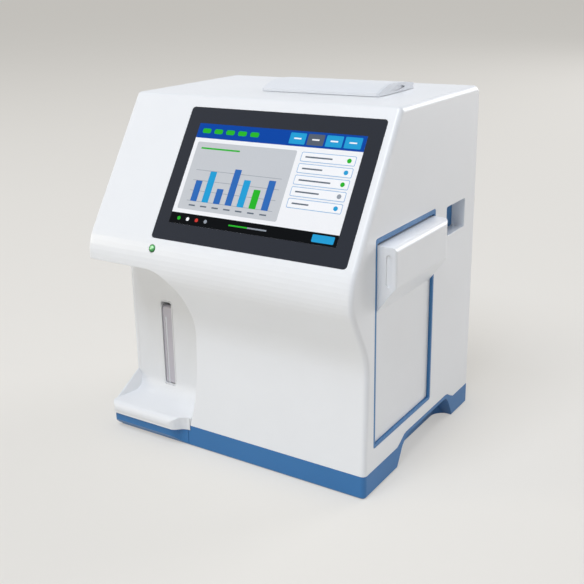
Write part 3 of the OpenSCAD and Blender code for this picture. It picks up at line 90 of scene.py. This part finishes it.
def ramp(tree, factor, stops):
    node = tree.nodes.new("ShaderNodeValToRGB")
    band = node.color_ramp
    while len(band.elements) < len(stops):
        band.elements.new(0.5)
    for element, (at, colour) in zip(band.elements, stops):
        element.position = at
        element.color = colour
    tree.links.new(factor, node.inputs["Fac"])
    return node.outputs["Color"]


def spread(tree, factor, low, high):
    node = tree.nodes.new("ShaderNodeMapRange")
    node.inputs["To Min"].default_value = low
    node.inputs["To Max"].default_value = high
    tree.links.new(factor, node.inputs["Value"])
    return node.outputs["Result"]


def mottle(tree, bsdf, pattern, first, second, span=(0.3, 0.7)):  # two tones mixed by a pattern
    colour = ramp(tree, pattern, list(zip(span, (first, second))))
    tree.links.new(colour, bsdf.inputs["Base Color"])


def polish(tree, bsdf, pattern, low, high):
    tree.links.new(spread(tree, pattern, low, high), bsdf.inputs["Roughness"])


def grain(tree, bsdf, height, look):
    node = tree.nodes.new("ShaderNodeBump")
    node.inputs["Strength"].default_value = look["grain"]
    node.inputs["Distance"].default_value = look["grainDepth"]
    tree.links.new(height, node.inputs["Height"])
    if "edge" in look:  # soft moulded edges
        soft = tree.nodes.new("ShaderNodeBevel")
        soft.samples = look["edgeSamples"]
        soft.inputs["Radius"].default_value = look["edge"]
        tree.links.new(soft.outputs["Normal"], node.inputs["Normal"])
    tree.links.new(node.outputs["Normal"], bsdf.inputs["Normal"])


# moulded plastic and paint: cloudy tone, fine grain, uneven polish
mouldedLook = dict(cloudScale=22, cloudDetail=3.0, polishScale=90, polishDetail=2.0, polishSwing=0.05,
                   grainScale=1800, grainDetail=1.0, grain=0.05, grainDepth=0.0002, edge=0.0005, edgeSamples=6,
                   ior=1.49, coat=0.0, coatRough=0.2)


def mouldedFinish(name, ownLook):
    look = {**mouldedLook, **ownLook}
    mat, tree, bsdf = newFinish(name)
    base = tone(look["colour"])
    vector = place(tree)
    cloud = noise(tree, vector, look["cloudScale"], look["cloudDetail"])
    mottle(tree, bsdf, cloud, shade(base, look["dip"]), base)
    rubbed = noise(tree, vector, look["polishScale"], look["polishDetail"])
    polish(tree, bsdf, rubbed, look["rough"] - look["polishSwing"], look["rough"] + look["polishSwing"])
    grain(tree, bsdf, noise(tree, vector, look["grainScale"], look["grainDetail"]), look)
    bsdf.inputs["IOR"].default_value = look["ior"]
    bsdf.inputs["Coat Weight"].default_value = look["coat"]
    bsdf.inputs["Coat Roughness"].default_value = look["coatRough"]
    return mat


# drawn or turned metal: streaks along one axis
drawnLook = dict(stretch=(6, 900, 900), streakDetail=3.0, span=(0.25, 0.75), dip=0.8,
                 rough=0.32, polishSwing=0.08, grain=0.06, grainDepth=0.0002)


def drawnFinish(name, ownLook):
    look = {**drawnLook, **ownLook}
    mat, tree, bsdf = newFinish(name)
    base = tone(look["colour"])
    streaks = noise(tree, place(tree, look["stretch"]), 1.0, look["streakDetail"])
    mottle(tree, bsdf, streaks, shade(base, look["dip"]), base, look["span"])
    polish(tree, bsdf, streaks, look["rough"] - look["polishSwing"], look["rough"] + look["polishSwing"])
    grain(tree, bsdf, streaks, look)
    bsdf.inputs["Metallic"].default_value = 1.0
    return mat


# rubber: dull with a fine chalky bloom
rubberLook = dict(bloomScale=120, bloomDetail=4.0, bloom=1.35, span=(0.35, 0.75), rough=(0.6, 0.85),
                  grainScale=1200, grainDetail=2.0, grain=0.15, grainDepth=0.0003)


def rubberFinish(name, ownLook):
    look = {**rubberLook, **ownLook}
    mat, tree, bsdf = newFinish(name)
    base = tone(look["colour"])
    vector = place(tree)
    bloom = noise(tree, vector, look["bloomScale"], look["bloomDetail"])
    mottle(tree, bsdf, bloom, base, shade(base, look["bloom"]), look["span"])
    polish(tree, bsdf, bloom, *look["rough"])
    grain(tree, bsdf, noise(tree, vector, look["grainScale"], look["grainDetail"]), look)
    return mat


# clear film, tubing and resin with a tint and soft folds
filmLook = dict(foldScale=60, foldDetail=3.0, dip=0.88, rough=(0.12, 0.3),
                grain=0.25, grainDepth=0.001, clear=0.25)


def filmFinish(name, ownLook):
    look = {**filmLook, **ownLook}
    mat, tree, bsdf = newFinish(name)
    base = tone(look["colour"])
    folds = noise(tree, place(tree), look["foldScale"], look["foldDetail"])
    mottle(tree, bsdf, folds, shade(base, look["dip"]), base)
    polish(tree, bsdf, folds, *look["rough"])
    grain(tree, bsdf, folds, look)
    bsdf.inputs["Transmission Weight"].default_value = look["clear"]
    return mat


# thermal paper: faint fibres across the strip
paperLook = dict(stretch=(40, 900, 900), fibreDetail=3.0, dip=0.93, rough=(0.55, 0.75),
                 grain=0.1, grainDepth=0.0002)


def paperFinish(name, ownLook):
    look = {**paperLook, **ownLook}
    mat, tree, bsdf = newFinish(name)
    base = tone(look["colour"])
    fibre = noise(tree, place(tree, look["stretch"]), 1.0, look["fibreDetail"])
    mottle(tree, bsdf, fibre, shade(base, look["dip"]), base)
    polish(tree, bsdf, fibre, *look["rough"])
    grain(tree, bsdf, fibre, look)
    return mat


# circuit board: solder mask with a lattice of lighter tracks
boardLook = dict(latticeScale=160, dip=0.85, track=1.5, turn=(math.pi / 2, 0, 0), rough=(0.3, 0.45))


def boardFinish(name, ownLook):
    look = {**boardLook, **ownLook}
    mat, tree, bsdf = newFinish(name)
    base = tone(look["colour"])
    brick = tree.nodes.new("ShaderNodeTexBrick")
    brick.inputs["Scale"].default_value = look["latticeScale"]
    brick.inputs["Color1"].default_value = base
    brick.inputs["Color2"].default_value = shade(base, look["dip"])
    brick.inputs["Mortar"].default_value = shade(base, look["track"])
    tree.links.new(place(tree, turn=look["turn"]), brick.inputs["Vector"])
    tree.links.new(brick.outputs["Color"], bsdf.inputs["Base Color"])
    polish(tree, bsdf, brick.outputs["Fac"], *look["rough"])
    return mat


# dark cover glass of the screen: near black with a faint depth tint
glassLook = dict(hazeScale=14, hazeDetail=2.0, dip=0.92, rough=(0.06, 0.1), ior=1.45)


def coverGlassFinish(name, ownLook):
    look = {**glassLook, **ownLook}
    mat, tree, bsdf = newFinish(name)
    base = tone(look["colour"])
    haze = noise(tree, place(tree), look["hazeScale"], look["hazeDetail"])
    mottle(tree, bsdf, haze, shade(base, look["dip"]), base)
    polish(tree, bsdf, haze, *look["rough"])
    bsdf.inputs["IOR"].default_value = look["ior"]
    return mat


# tinted lamp lens with a painted highlight, lighter in the middle, and painted shade darker towards the rim:
# the middle's place on the console and its radius in millimetres
lensLook = dict(at=(-58.0, -137.6, 1.4), radius=4.2, rough=0.08, ior=1.6, glow=0.16)


def lampFinish(name, ownLook):
    look = {**lensLook, **ownLook}
    mat, tree, bsdf = newFinish(name)
    coords = tree.nodes.new("ShaderNodeTexCoord")
    mapping = tree.nodes.new("ShaderNodeMapping")
    mapping.vector_type = "TEXTURE"
    mapping.inputs["Location"].default_value = onConsole(*look["at"])
    mapping.inputs["Scale"].default_value = [look["radius"] / perMetre] * 3
    tree.links.new(coords.outputs["Object"], mapping.inputs["Vector"])
    # painted highlight: a spherical gradient brightest at its middle, fading to painted shade at the rim
    paintedHighlight = tree.nodes.new("ShaderNodeTexGradient")
    paintedHighlight.gradient_type = "SPHERICAL"
    tree.links.new(mapping.outputs["Vector"], paintedHighlight.inputs["Vector"])
    colour = ramp(tree, paintedHighlight.outputs["Fac"], [(at, tone(code)) for at, code in look["stops"]])
    tree.links.new(colour, bsdf.inputs["Base Color"])
    # the lens glows as a lamp, and the painted highlight glows with it
    tree.links.new(colour, bsdf.inputs["Emission Color"])
    bsdf.inputs["Roughness"].default_value = look["rough"]
    bsdf.inputs["IOR"].default_value = look["ior"]
    bsdf.inputs["Emission Strength"].default_value = look["glow"]
    return mat


# picture areas on the cover glass: lit, with a faint pixel weave
litLook = dict(weaveScale=2600, weaveDetail=1.0, dip=0.94, rough=0.3, specular=0.05, glow=0.12)


def litFinish(name, code):
    mat, tree, bsdf = newFinish(name)
    base = tone(code)
    weave = noise(tree, place(tree), litLook["weaveScale"], litLook["weaveDetail"])
    mottle(tree, bsdf, weave, shade(base, litLook["dip"]), base)
    bsdf.inputs["Roughness"].default_value = litLook["rough"]
    bsdf.inputs["Specular IOR Level"].default_value = litLook["specular"]
    bsdf.inputs["Emission Color"].default_value = base
    bsdf.inputs["Emission Strength"].default_value = litLook["glow"]
    return mat


finishes = {
    "shellWhite": (mouldedFinish, dict(colour="#EDEEEF", rough=0.34, coat=0.15, dip=0.985)),
    "lidWhite": (mouldedFinish, dict(colour="#E7E9EC", rough=0.36, coat=0.1, dip=0.98)),
    "bayWhite": (mouldedFinish, dict(colour="#E9EAEB", rough=0.36, coat=0.1, dip=0.98)),
    "packWhite": (mouldedFinish, dict(colour="#ECEDEE", rough=0.36, coat=0.1, dip=0.98)),
    "baseBlue": (mouldedFinish, dict(colour="#2D70AA", rough=0.42, grain=0.1, dip=0.94)),
    "linerBlue": (mouldedFinish, dict(colour="#3A78AF", rough=0.42, grain=0.1, dip=0.94)),
    "lidGrey": (mouldedFinish, dict(colour="#E0E3E7", rough=0.4, dip=0.95)),
    "wellGrey": (mouldedFinish, dict(colour="#CDD0D3", rough=0.45, dip=0.95)),
    "caseGrey": (mouldedFinish, dict(colour="#DADDE0", rough=0.42, dip=0.95)),
    "manifoldGrey": (mouldedFinish, dict(colour="#C4C7CA", rough=0.4, dip=0.93)),
    "probeGrey": (mouldedFinish, dict(colour="#C4C0C7", rough=0.38, dip=0.93)),
    "holderIvory": (mouldedFinish, dict(colour="#E4E1D8", rough=0.4, dip=0.94)),
    "blackPlastic": (mouldedFinish, dict(colour="#26282B", rough=0.45, dip=0.85, grain=0.15)),
    "panelPaint": (mouldedFinish, dict(colour="#BDC1C5", rough=0.5, dip=0.95, grain=0.25, grainScale=900)),
    "mechanismPaint": (mouldedFinish, dict(colour="#5C6066", rough=0.42, dip=0.9)),
    "motorPaint": (mouldedFinish, dict(colour="#474B52", rough=0.4, dip=0.9)),
    "needleSteel": (drawnFinish, dict(colour="#E6E8EC", stretch=(900, 900, 6), rough=0.45)),
    "steel": (drawnFinish, dict(colour="#B9BEC4")),
    "supplyMetal": (drawnFinish, dict(colour="#A5A8AC", stretch=(900, 6, 900), rough=0.4)),
    "brass": (drawnFinish, dict(colour="#B9994F", stretch=(900, 6, 900))),
    "footRubber": (rubberFinish, dict(colour="#232426")),
    "portRubber": (rubberFinish, dict(colour="#44474E")),
    "rollerRubber": (rubberFinish, dict(colour="#36373A")),
    "pumpTube": (rubberFinish, dict(colour="#E2D2A8")),
    "clearTube": (filmFinish, dict(colour="#DCE5E9", clear=0.5, foldScale=200)),
    "blueFilm": (filmFinish, dict(colour="#C5DCE8")),
    "amberFilm": (filmFinish, dict(colour="#DFCF9C")),
    "tanResin": (filmFinish, dict(colour="#D3BF93", clear=0.3, foldScale=120)),
    "brownResin": (filmFinish, dict(colour="#B0704F", clear=0.3, foldScale=120)),
    "paper": (paperFinish, dict(colour="#F6F6F2")),
    "boardGreen": (boardFinish, dict(colour="#2C6642")),
    "coverGlass": (coverGlassFinish, dict(colour="#0A1424")),
    "displayDark": (mouldedFinish, dict(colour="#1E2126", rough=0.5, dip=0.9)),
    # stops run from painted shade at the rim to a painted highlight in the middle
    "lampGreen": (lampFinish, dict(stops=[(0.0, "#1B5A28"), (0.4, "#3A9A48"), (0.8, "#B9F0B4")])),
}

wornBy = {
    "shellWhite": ["housing"],
    "lidWhite": ["printer_lid"],
    "bayWhite": ["sample_bay", "slot_bezel", "pump_rollers"],
    "packWhite": ["pack_front"],
    "baseBlue": ["base_pan"],
    "linerBlue": ["pack_bay"],
    "lidGrey": ["lid_end_grip", "electrode_clamp", "pump_rotor"],
    "wellGrey": ["printer_well", "pump_housing"],
    "caseGrey": ["pack_case"],
    "manifoldGrey": ["port_manifold"],
    "probeGrey": ["probe_arm"],
    "holderIvory": ["electrode_holder"],
    "blackPlastic": ["power_inlet", "switch_frame", "power_rocker", "fan_frame", "fan_rotor", "paper_spindle"],
    "panelPaint": ["rear_panel"],
    "mechanismPaint": ["printer_mechanism"],
    "motorPaint": ["pump_motor", "pinch_valve"],
    "needleSteel": ["probe_needle"],
    "steel": ["base_screws", "rear_screws", "probe_pivot", "screen_bracket", "port_needles",
              "lid_hinge_pin", "chassis_plate", "valve_plunger", "data_ports"],
    "supplyMetal": ["power_supply"],
    "brass": ["board_standoffs"],
    "footRubber": ["rubber_feet"],
    "portRubber": ["pack_ports"],
    "rollerRubber": ["platen_roller"],
    "pumpTube": ["pump_tube"],
    "clearTube": ["sample_line"],
    "blueFilm": ["standard_pouch_a", "standard_pouch_b"],
    "amberFilm": ["waste_pouch"],
    "tanResin": ["ion_electrodes"],
    "brownResin": ["reference_electrode"],
    "paper": ["paper_roll"],
    "boardGreen": ["main_board"],
    "coverGlass": ["touch_glass"],
    "displayDark": ["lcd_module"],
    "lampGreen": ["status_led"],
}

for finishName, (make, look) in finishes.items():
    finish = make(finishName, look)
    for nodeName in wornBy[finishName]:
        mesh = nodes[nodeName].data
        mesh.materials.clear()
        mesh.materials.append(finish)
print("finishes set:", len(finishes))


# page on the screen, in millimetres: its parts are measured in from its edges, the meter from its middle
picture = dict(width=157.7, height=89.0, middleX=29.5, middleY=-69.7, rise=0.06, step=0.03, corner=0.3)
pictureTones = {
    "page": "#E9E9EA", "bar": "#0A439B", "tab": "#2497CA", "tabDark": "#545C69", "tabGreen": "#28AD2A",
    "card": "#BFC1C4", "cardDark": "#8F959D", "row": "#ECECED", "rowLine": "#7FA9D0", "mark": "#5F6974",
    "foot": "#05070A", "red": "#C83A31", "curve": "#2F66AE",
}
headBar = dict(tall=13, lamps=5, lampPitch=12, lampFrom=5, lampTo=13.5,
               lampLow=8.6, lampHigh=4.4, lampCorner=1.6)
headKeys = dict(tones=("tab", "tabDark", "tab", "tab"), first=67, pitch=16.4, wide=14.6, low=11.2, high=1.8,
                corner=0.8, dashFrom=4, dashTo=10.6, dashLow=7.1, dashHigh=5.9, dashCorner=0.3)
card = dict(left=4, right=101, low=13, high=16.5, corner=1.5)
cardTitle = dict(left=9, right=48, low=22.6, high=21.2, corner=0.4)
cardLines = dict(count=4, left=11, right=95, low=20.6, pitch=9, thick=0.4, corner=0.15)
cardBars = dict(first=14.5, pitch=11.6, wide=6.4, low=20.6, corner=0.5,
                tickLow=16.4, tickHigh=17.6, tickCorner=0.3,
                bars=((18, "curve"), (27, "tab"), (13, "curve"), (31, "curve"), (23, "tab"), (16, "tabGreen"),
                      (25, "curve")))
sideRows = dict(first=17, pitch=9.6, tall=8.0, left=52, right=4, corner=1.2, rim=0.5, innerCorner=0.9,
                dotIn=9.5, dotDown=4.0, dotRadius=1.9, lineFrom=48, lineLow=4.6, lineHigh=3.4, lineCorner=0.3,
                rows=((24, "tabGreen"), (30, "tab"), (20, "tabGreen"), (27, "cardDark"), (33, "tab")))
footBar = dict(tall=9.5, keyLeft=22, keyRight=3, keyLow=1.8, keyHigh=7.8, keyCorner=0.8,
               dots=("tabGreen", "row", "red", "cardDark"), dotFirst=9, dotPitch=9, dotUp=4.8, dotRadius=1.6)
footMeter = dict(left=-20, full=-2, right=16, low=4.2, high=5.4, corner=0.3)


def slab(bm, outline, low, high, index):
    floorRing = [bm.verts.new(onConsole(x, y, low)) for x, y in outline]
    roofRing = [bm.verts.new(onConsole(x, y, high)) for x, y in outline]
    count = len(outline)
    faces = [bm.faces.new(roofRing), bm.faces.new(list(reversed(floorRing)))]
    for i in range(count):
        j = (i + 1) % count
        faces.append(bm.faces.new((floorRing[i], floorRing[j], roofRing[j], roofRing[i])))
    for face in faces:
        face.material_index = index


def roundedBox(x0, y0, x1, y1, radius, steps=5):
    points = []
    for cx, cy, start in ((x1 - radius, y1 - radius, 0), (x0 + radius, y1 - radius, 90),
                          (x0 + radius, y0 + radius, 180), (x1 - radius, y0 + radius, 270)):
        for k in range(steps + 1):
            a = math.radians(start + 90 * k / steps)
            points.append((cx + radius * math.cos(a), cy + radius * math.sin(a)))
    return points


def disc(cx, cy, radius, steps=24):
    turns = [2 * math.pi * k / steps for k in range(steps)]
    return [(cx + radius * math.cos(a), cy + radius * math.sin(a)) for a in turns]


def makePicture():
    order = list(pictureTones)
    bm = bmesh.new()
    right, high = picture["width"] / 2, picture["height"] / 2
    left, low = -right, -high
    corner = picture["corner"]

    def layer(level, outline, toneName):  # levels count up from 0 on the glass
        under = 0.0 if level == 0 else picture["rise"] + picture["step"] * (level - 1)
        over = picture["rise"] + picture["step"] * level
        placed = [(x + picture["middleX"], y + picture["middleY"]) for x, y in outline]
        slab(bm, placed, under, over, order.index(toneName))

    def box(level, x0, y0, x1, y1, toneName, radius):
        layer(level, roundedBox(x0, y0, x1, y1, radius), toneName)

    box(0, left, low, right, high, "page", corner)
    box(1, left, high - headBar["tall"], right, high, "bar", corner)
    box(1, left, low, right, low + footBar["tall"], "foot", corner)

    # head of the page: round lamps, then a row of keys
    head, keys = headBar, headKeys
    for k in range(head["lamps"]):
        x = left + k * head["lampPitch"]
        box(2, x + head["lampFrom"], high - head["lampLow"],
            x + head["lampTo"], high - head["lampHigh"], "tabGreen", head["lampCorner"])
    for k, toneName in enumerate(keys["tones"]):
        x = right - keys["first"] + k * keys["pitch"]
        box(2, x, high - keys["low"], x + keys["wide"], high - keys["high"], toneName, keys["corner"])
        box(3, x + keys["dashFrom"], high - keys["dashLow"],
            x + keys["dashTo"], high - keys["dashHigh"], "row", keys["dashCorner"])

    # card with a title, ruled lines and result bars
    title, lines, bars = cardTitle, cardLines, cardBars
    box(1, left + card["left"], low + card["low"],
        left + card["right"], high - card["high"], "card", card["corner"])
    box(2, left + title["left"], high - title["low"],
        left + title["right"], high - title["high"], "tabGreen", title["corner"])
    for k in range(lines["count"]):
        y = low + lines["low"] + k * lines["pitch"]
        box(2, left + lines["left"], y, left + lines["right"], y + lines["thick"], "cardDark", lines["corner"])
    for k, (tall, toneName) in enumerate(bars["bars"]):
        x = left + bars["first"] + k * bars["pitch"]
        y = low + bars["low"]
        box(3, x, y, x + bars["wide"], y + tall, toneName, bars["corner"])
        box(2, x, low + bars["tickLow"], x + bars["wide"], low + bars["tickHigh"], "mark", bars["tickCorner"])

    # list of rows beside the card
    side = sideRows
    x0, x1, rim = right - side["left"], right - side["right"], side["rim"]
    for k, (lineTo, toneName) in enumerate(side["rows"]):
        y = high - side["first"] - k * side["pitch"]
        box(1, x0, y - side["tall"], x1, y, "rowLine", side["corner"])
        box(2, x0 + rim, y - side["tall"] + rim, x1 - rim, y - rim, "row", side["innerCorner"])
        layer(3, disc(right - side["dotIn"], y - side["dotDown"], side["dotRadius"]), toneName)
        box(3, right - side["lineFrom"], y - side["lineLow"],
            right - lineTo, y - side["lineHigh"], "mark", side["lineCorner"])

    # foot of the page: a key, small dots and a meter
    foot, meter = footBar, footMeter
    box(2, right - foot["keyLeft"], low + foot["keyLow"],
        right - foot["keyRight"], low + foot["keyHigh"], "tab", foot["keyCorner"])
    for k, toneName in enumerate(foot["dots"]):
        x = left + foot["dotFirst"] + k * foot["dotPitch"]
        layer(2, disc(x, low + foot["dotUp"], foot["dotRadius"]), toneName)
    box(2, meter["left"], low + meter["low"], meter["right"], low + meter["high"], "cardDark", meter["corner"])
    box(3, meter["left"], low + meter["low"], meter["full"], low + meter["high"], "tabGreen", meter["corner"])

    mesh = bpy.data.meshes.new("screenPicture")
    bmesh.ops.recalc_face_normals(bm, faces=bm.faces)
    bm.to_mesh(mesh)
    bm.free()
    for toneName in order:
        mesh.materials.append(litFinish("lit_" + toneName, pictureTones[toneName]))
    screen = bpy.data.objects.new("screenPicture", mesh)
    scene.collection.objects.link(screen)
    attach(screen, "frame")


makePicture()
print("screen picture made")


# studio: pale floor, soft light, pale surround
studio = dict(floorTone="#EAE7E1", floorSize=24.0, floorSides=96, floorRough=0.9,
              cloudScale=3, cloudDetail=2.0, cloudDip=0.99, paleShare=0.5,
              surround="#F2F3F4", surroundLight=0.32)


# 1 for rays that show the stage: to the camera, by gloss or through glass
def seenRays(tree):
    path = tree.nodes.new("ShaderNodeLightPath")
    seen = path.outputs["Is Camera Ray"]
    for rays in ("Is Glossy Ray", "Is Transmission Ray"):
        either = tree.nodes.new("ShaderNodeMath")
        either.operation = "MAXIMUM"
        tree.links.new(seen, either.inputs[0])
        tree.links.new(path.outputs[rays], either.inputs[1])
        seen = either.outputs[0]
    return seen


def mixInto(tree, share, first, second, socket):
    mix = tree.nodes.new("ShaderNodeMixShader")
    tree.links.new(share, mix.inputs["Fac"])
    tree.links.new(first.outputs[0], mix.inputs[1])
    tree.links.new(second.outputs[0], mix.inputs[2])
    tree.links.new(mix.outputs[0], socket)


def makeFloor():
    bm = bmesh.new()
    bmesh.ops.create_circle(bm, cap_ends=True, segments=studio["floorSides"], radius=studio["floorSize"])
    mesh = bpy.data.meshes.new("studioFloor")
    bm.to_mesh(mesh)
    bm.free()
    mat, tree, bsdf = newFinish("floorPaint")
    base = tone(studio["floorTone"])
    cloud = noise(tree, place(tree), studio["cloudScale"], studio["cloudDetail"])
    mottle(tree, bsdf, cloud, shade(base, studio["cloudDip"]), base)
    bsdf.inputs["Roughness"].default_value = studio["floorRough"]
    bsdf.inputs["Specular IOR Level"].default_value = 0.0
    pale = tree.nodes.new("ShaderNodeEmission")  # keeps the far floor pale and lights nothing
    pale.inputs["Color"].default_value = base
    share = spread(tree, seenRays(tree), 0.0, studio["paleShare"])
    mixInto(tree, share, bsdf, pale, tree.nodes["Material Output"].inputs["Surface"])
    mesh.materials.append(mat)
    floor = bpy.data.objects.new("studioFloor", mesh)
    scene.collection.objects.link(floor)


def makeSurround():
    world = bpy.data.worlds.new("studioSurround")
    scene.world = world
    world.use_nodes = True
    tree = world.node_tree
    tree.nodes.clear()
    out = tree.nodes.new("ShaderNodeOutputWorld")
    seen = tree.nodes.new("ShaderNodeBackground")
    seen.inputs["Color"].default_value = tone(studio["surround"])
    lit = tree.nodes.new("ShaderNodeBackground")
    lit.inputs["Color"].default_value = (1, 1, 1, 1)
    lit.inputs["Strength"].default_value = studio["surroundLight"]
    mixInto(tree, seenRays(tree), lit, seen, out.inputs["Surface"])


lampAim = (0, 0, 0.16)
lamps = {
    "keySoft": dict(at=(0.0, -2.02, 3.612), size=2.1, power=105.0, tint="#ECF3FF"),
    "leftSoft": dict(at=(-3.2, -2.256, 0.98), size=1.1, power=32.0, tint="#FFF4DC"),
    "backSoft": dict(at=(1.631, 3.507, 1.18), size=1.8, power=70.0, tint="#FBFBFF"),
}


def makeLamps():
    for lampName, lamp in lamps.items():
        data = bpy.data.lights.new(lampName, "AREA")
        data.size = lamp["size"]
        data.energy = lamp["power"]
        data.color = tone(lamp["tint"])[:3]
        obj = bpy.data.objects.new(lampName, data)
        obj.location = lamp["at"]
        obj.rotation_euler = (Vector(lampAim) - Vector(lamp["at"])).to_track_quat("-Z", "Y").to_euler()
        scene.collection.objects.link(obj)


# camera: metres and degrees, with the lens in millimetres
view = dict(at=(0.421043, -0.665712, 0.398729), azimuth=34.375, elevation=17.967, roll=-1.579,
            sensor=36, lens=56.86, shiftX=0.0505, shiftY=-0.0294, near=0.02, far=60)


def makeCamera():
    a, e, r = (math.radians(view[k]) for k in ("azimuth", "elevation", "roll"))
    back = Vector((math.sin(a) * math.cos(e), -math.cos(a) * math.cos(e), math.sin(e)))
    right = Vector((math.cos(a), math.sin(a), 0))
    up = back.cross(right)
    rolledRight = right * math.cos(r) + up * math.sin(r)
    rolledUp = up * math.cos(r) - right * math.sin(r)
    data = bpy.data.cameras.new("photoCamera")
    data.sensor_width = view["sensor"]
    data.lens = view["lens"]
    data.shift_x = view["shiftX"]
    data.shift_y = view["shiftY"]
    data.clip_start = view["near"]
    data.clip_end = view["far"]
    cam = bpy.data.objects.new("photoCamera", data)
    axes = Matrix((rolledRight, rolledUp, back)).transposed()
    cam.matrix_world = Matrix.Translation(view["at"]) @ axes.to_4x4()
    scene.collection.objects.link(cam)
    scene.camera = cam


makeFloor()
makeSurround()
makeLamps()
makeCamera()
scene.view_settings.view_transform = "Standard"
print("studio set")

bpy.context.view_layer.update()
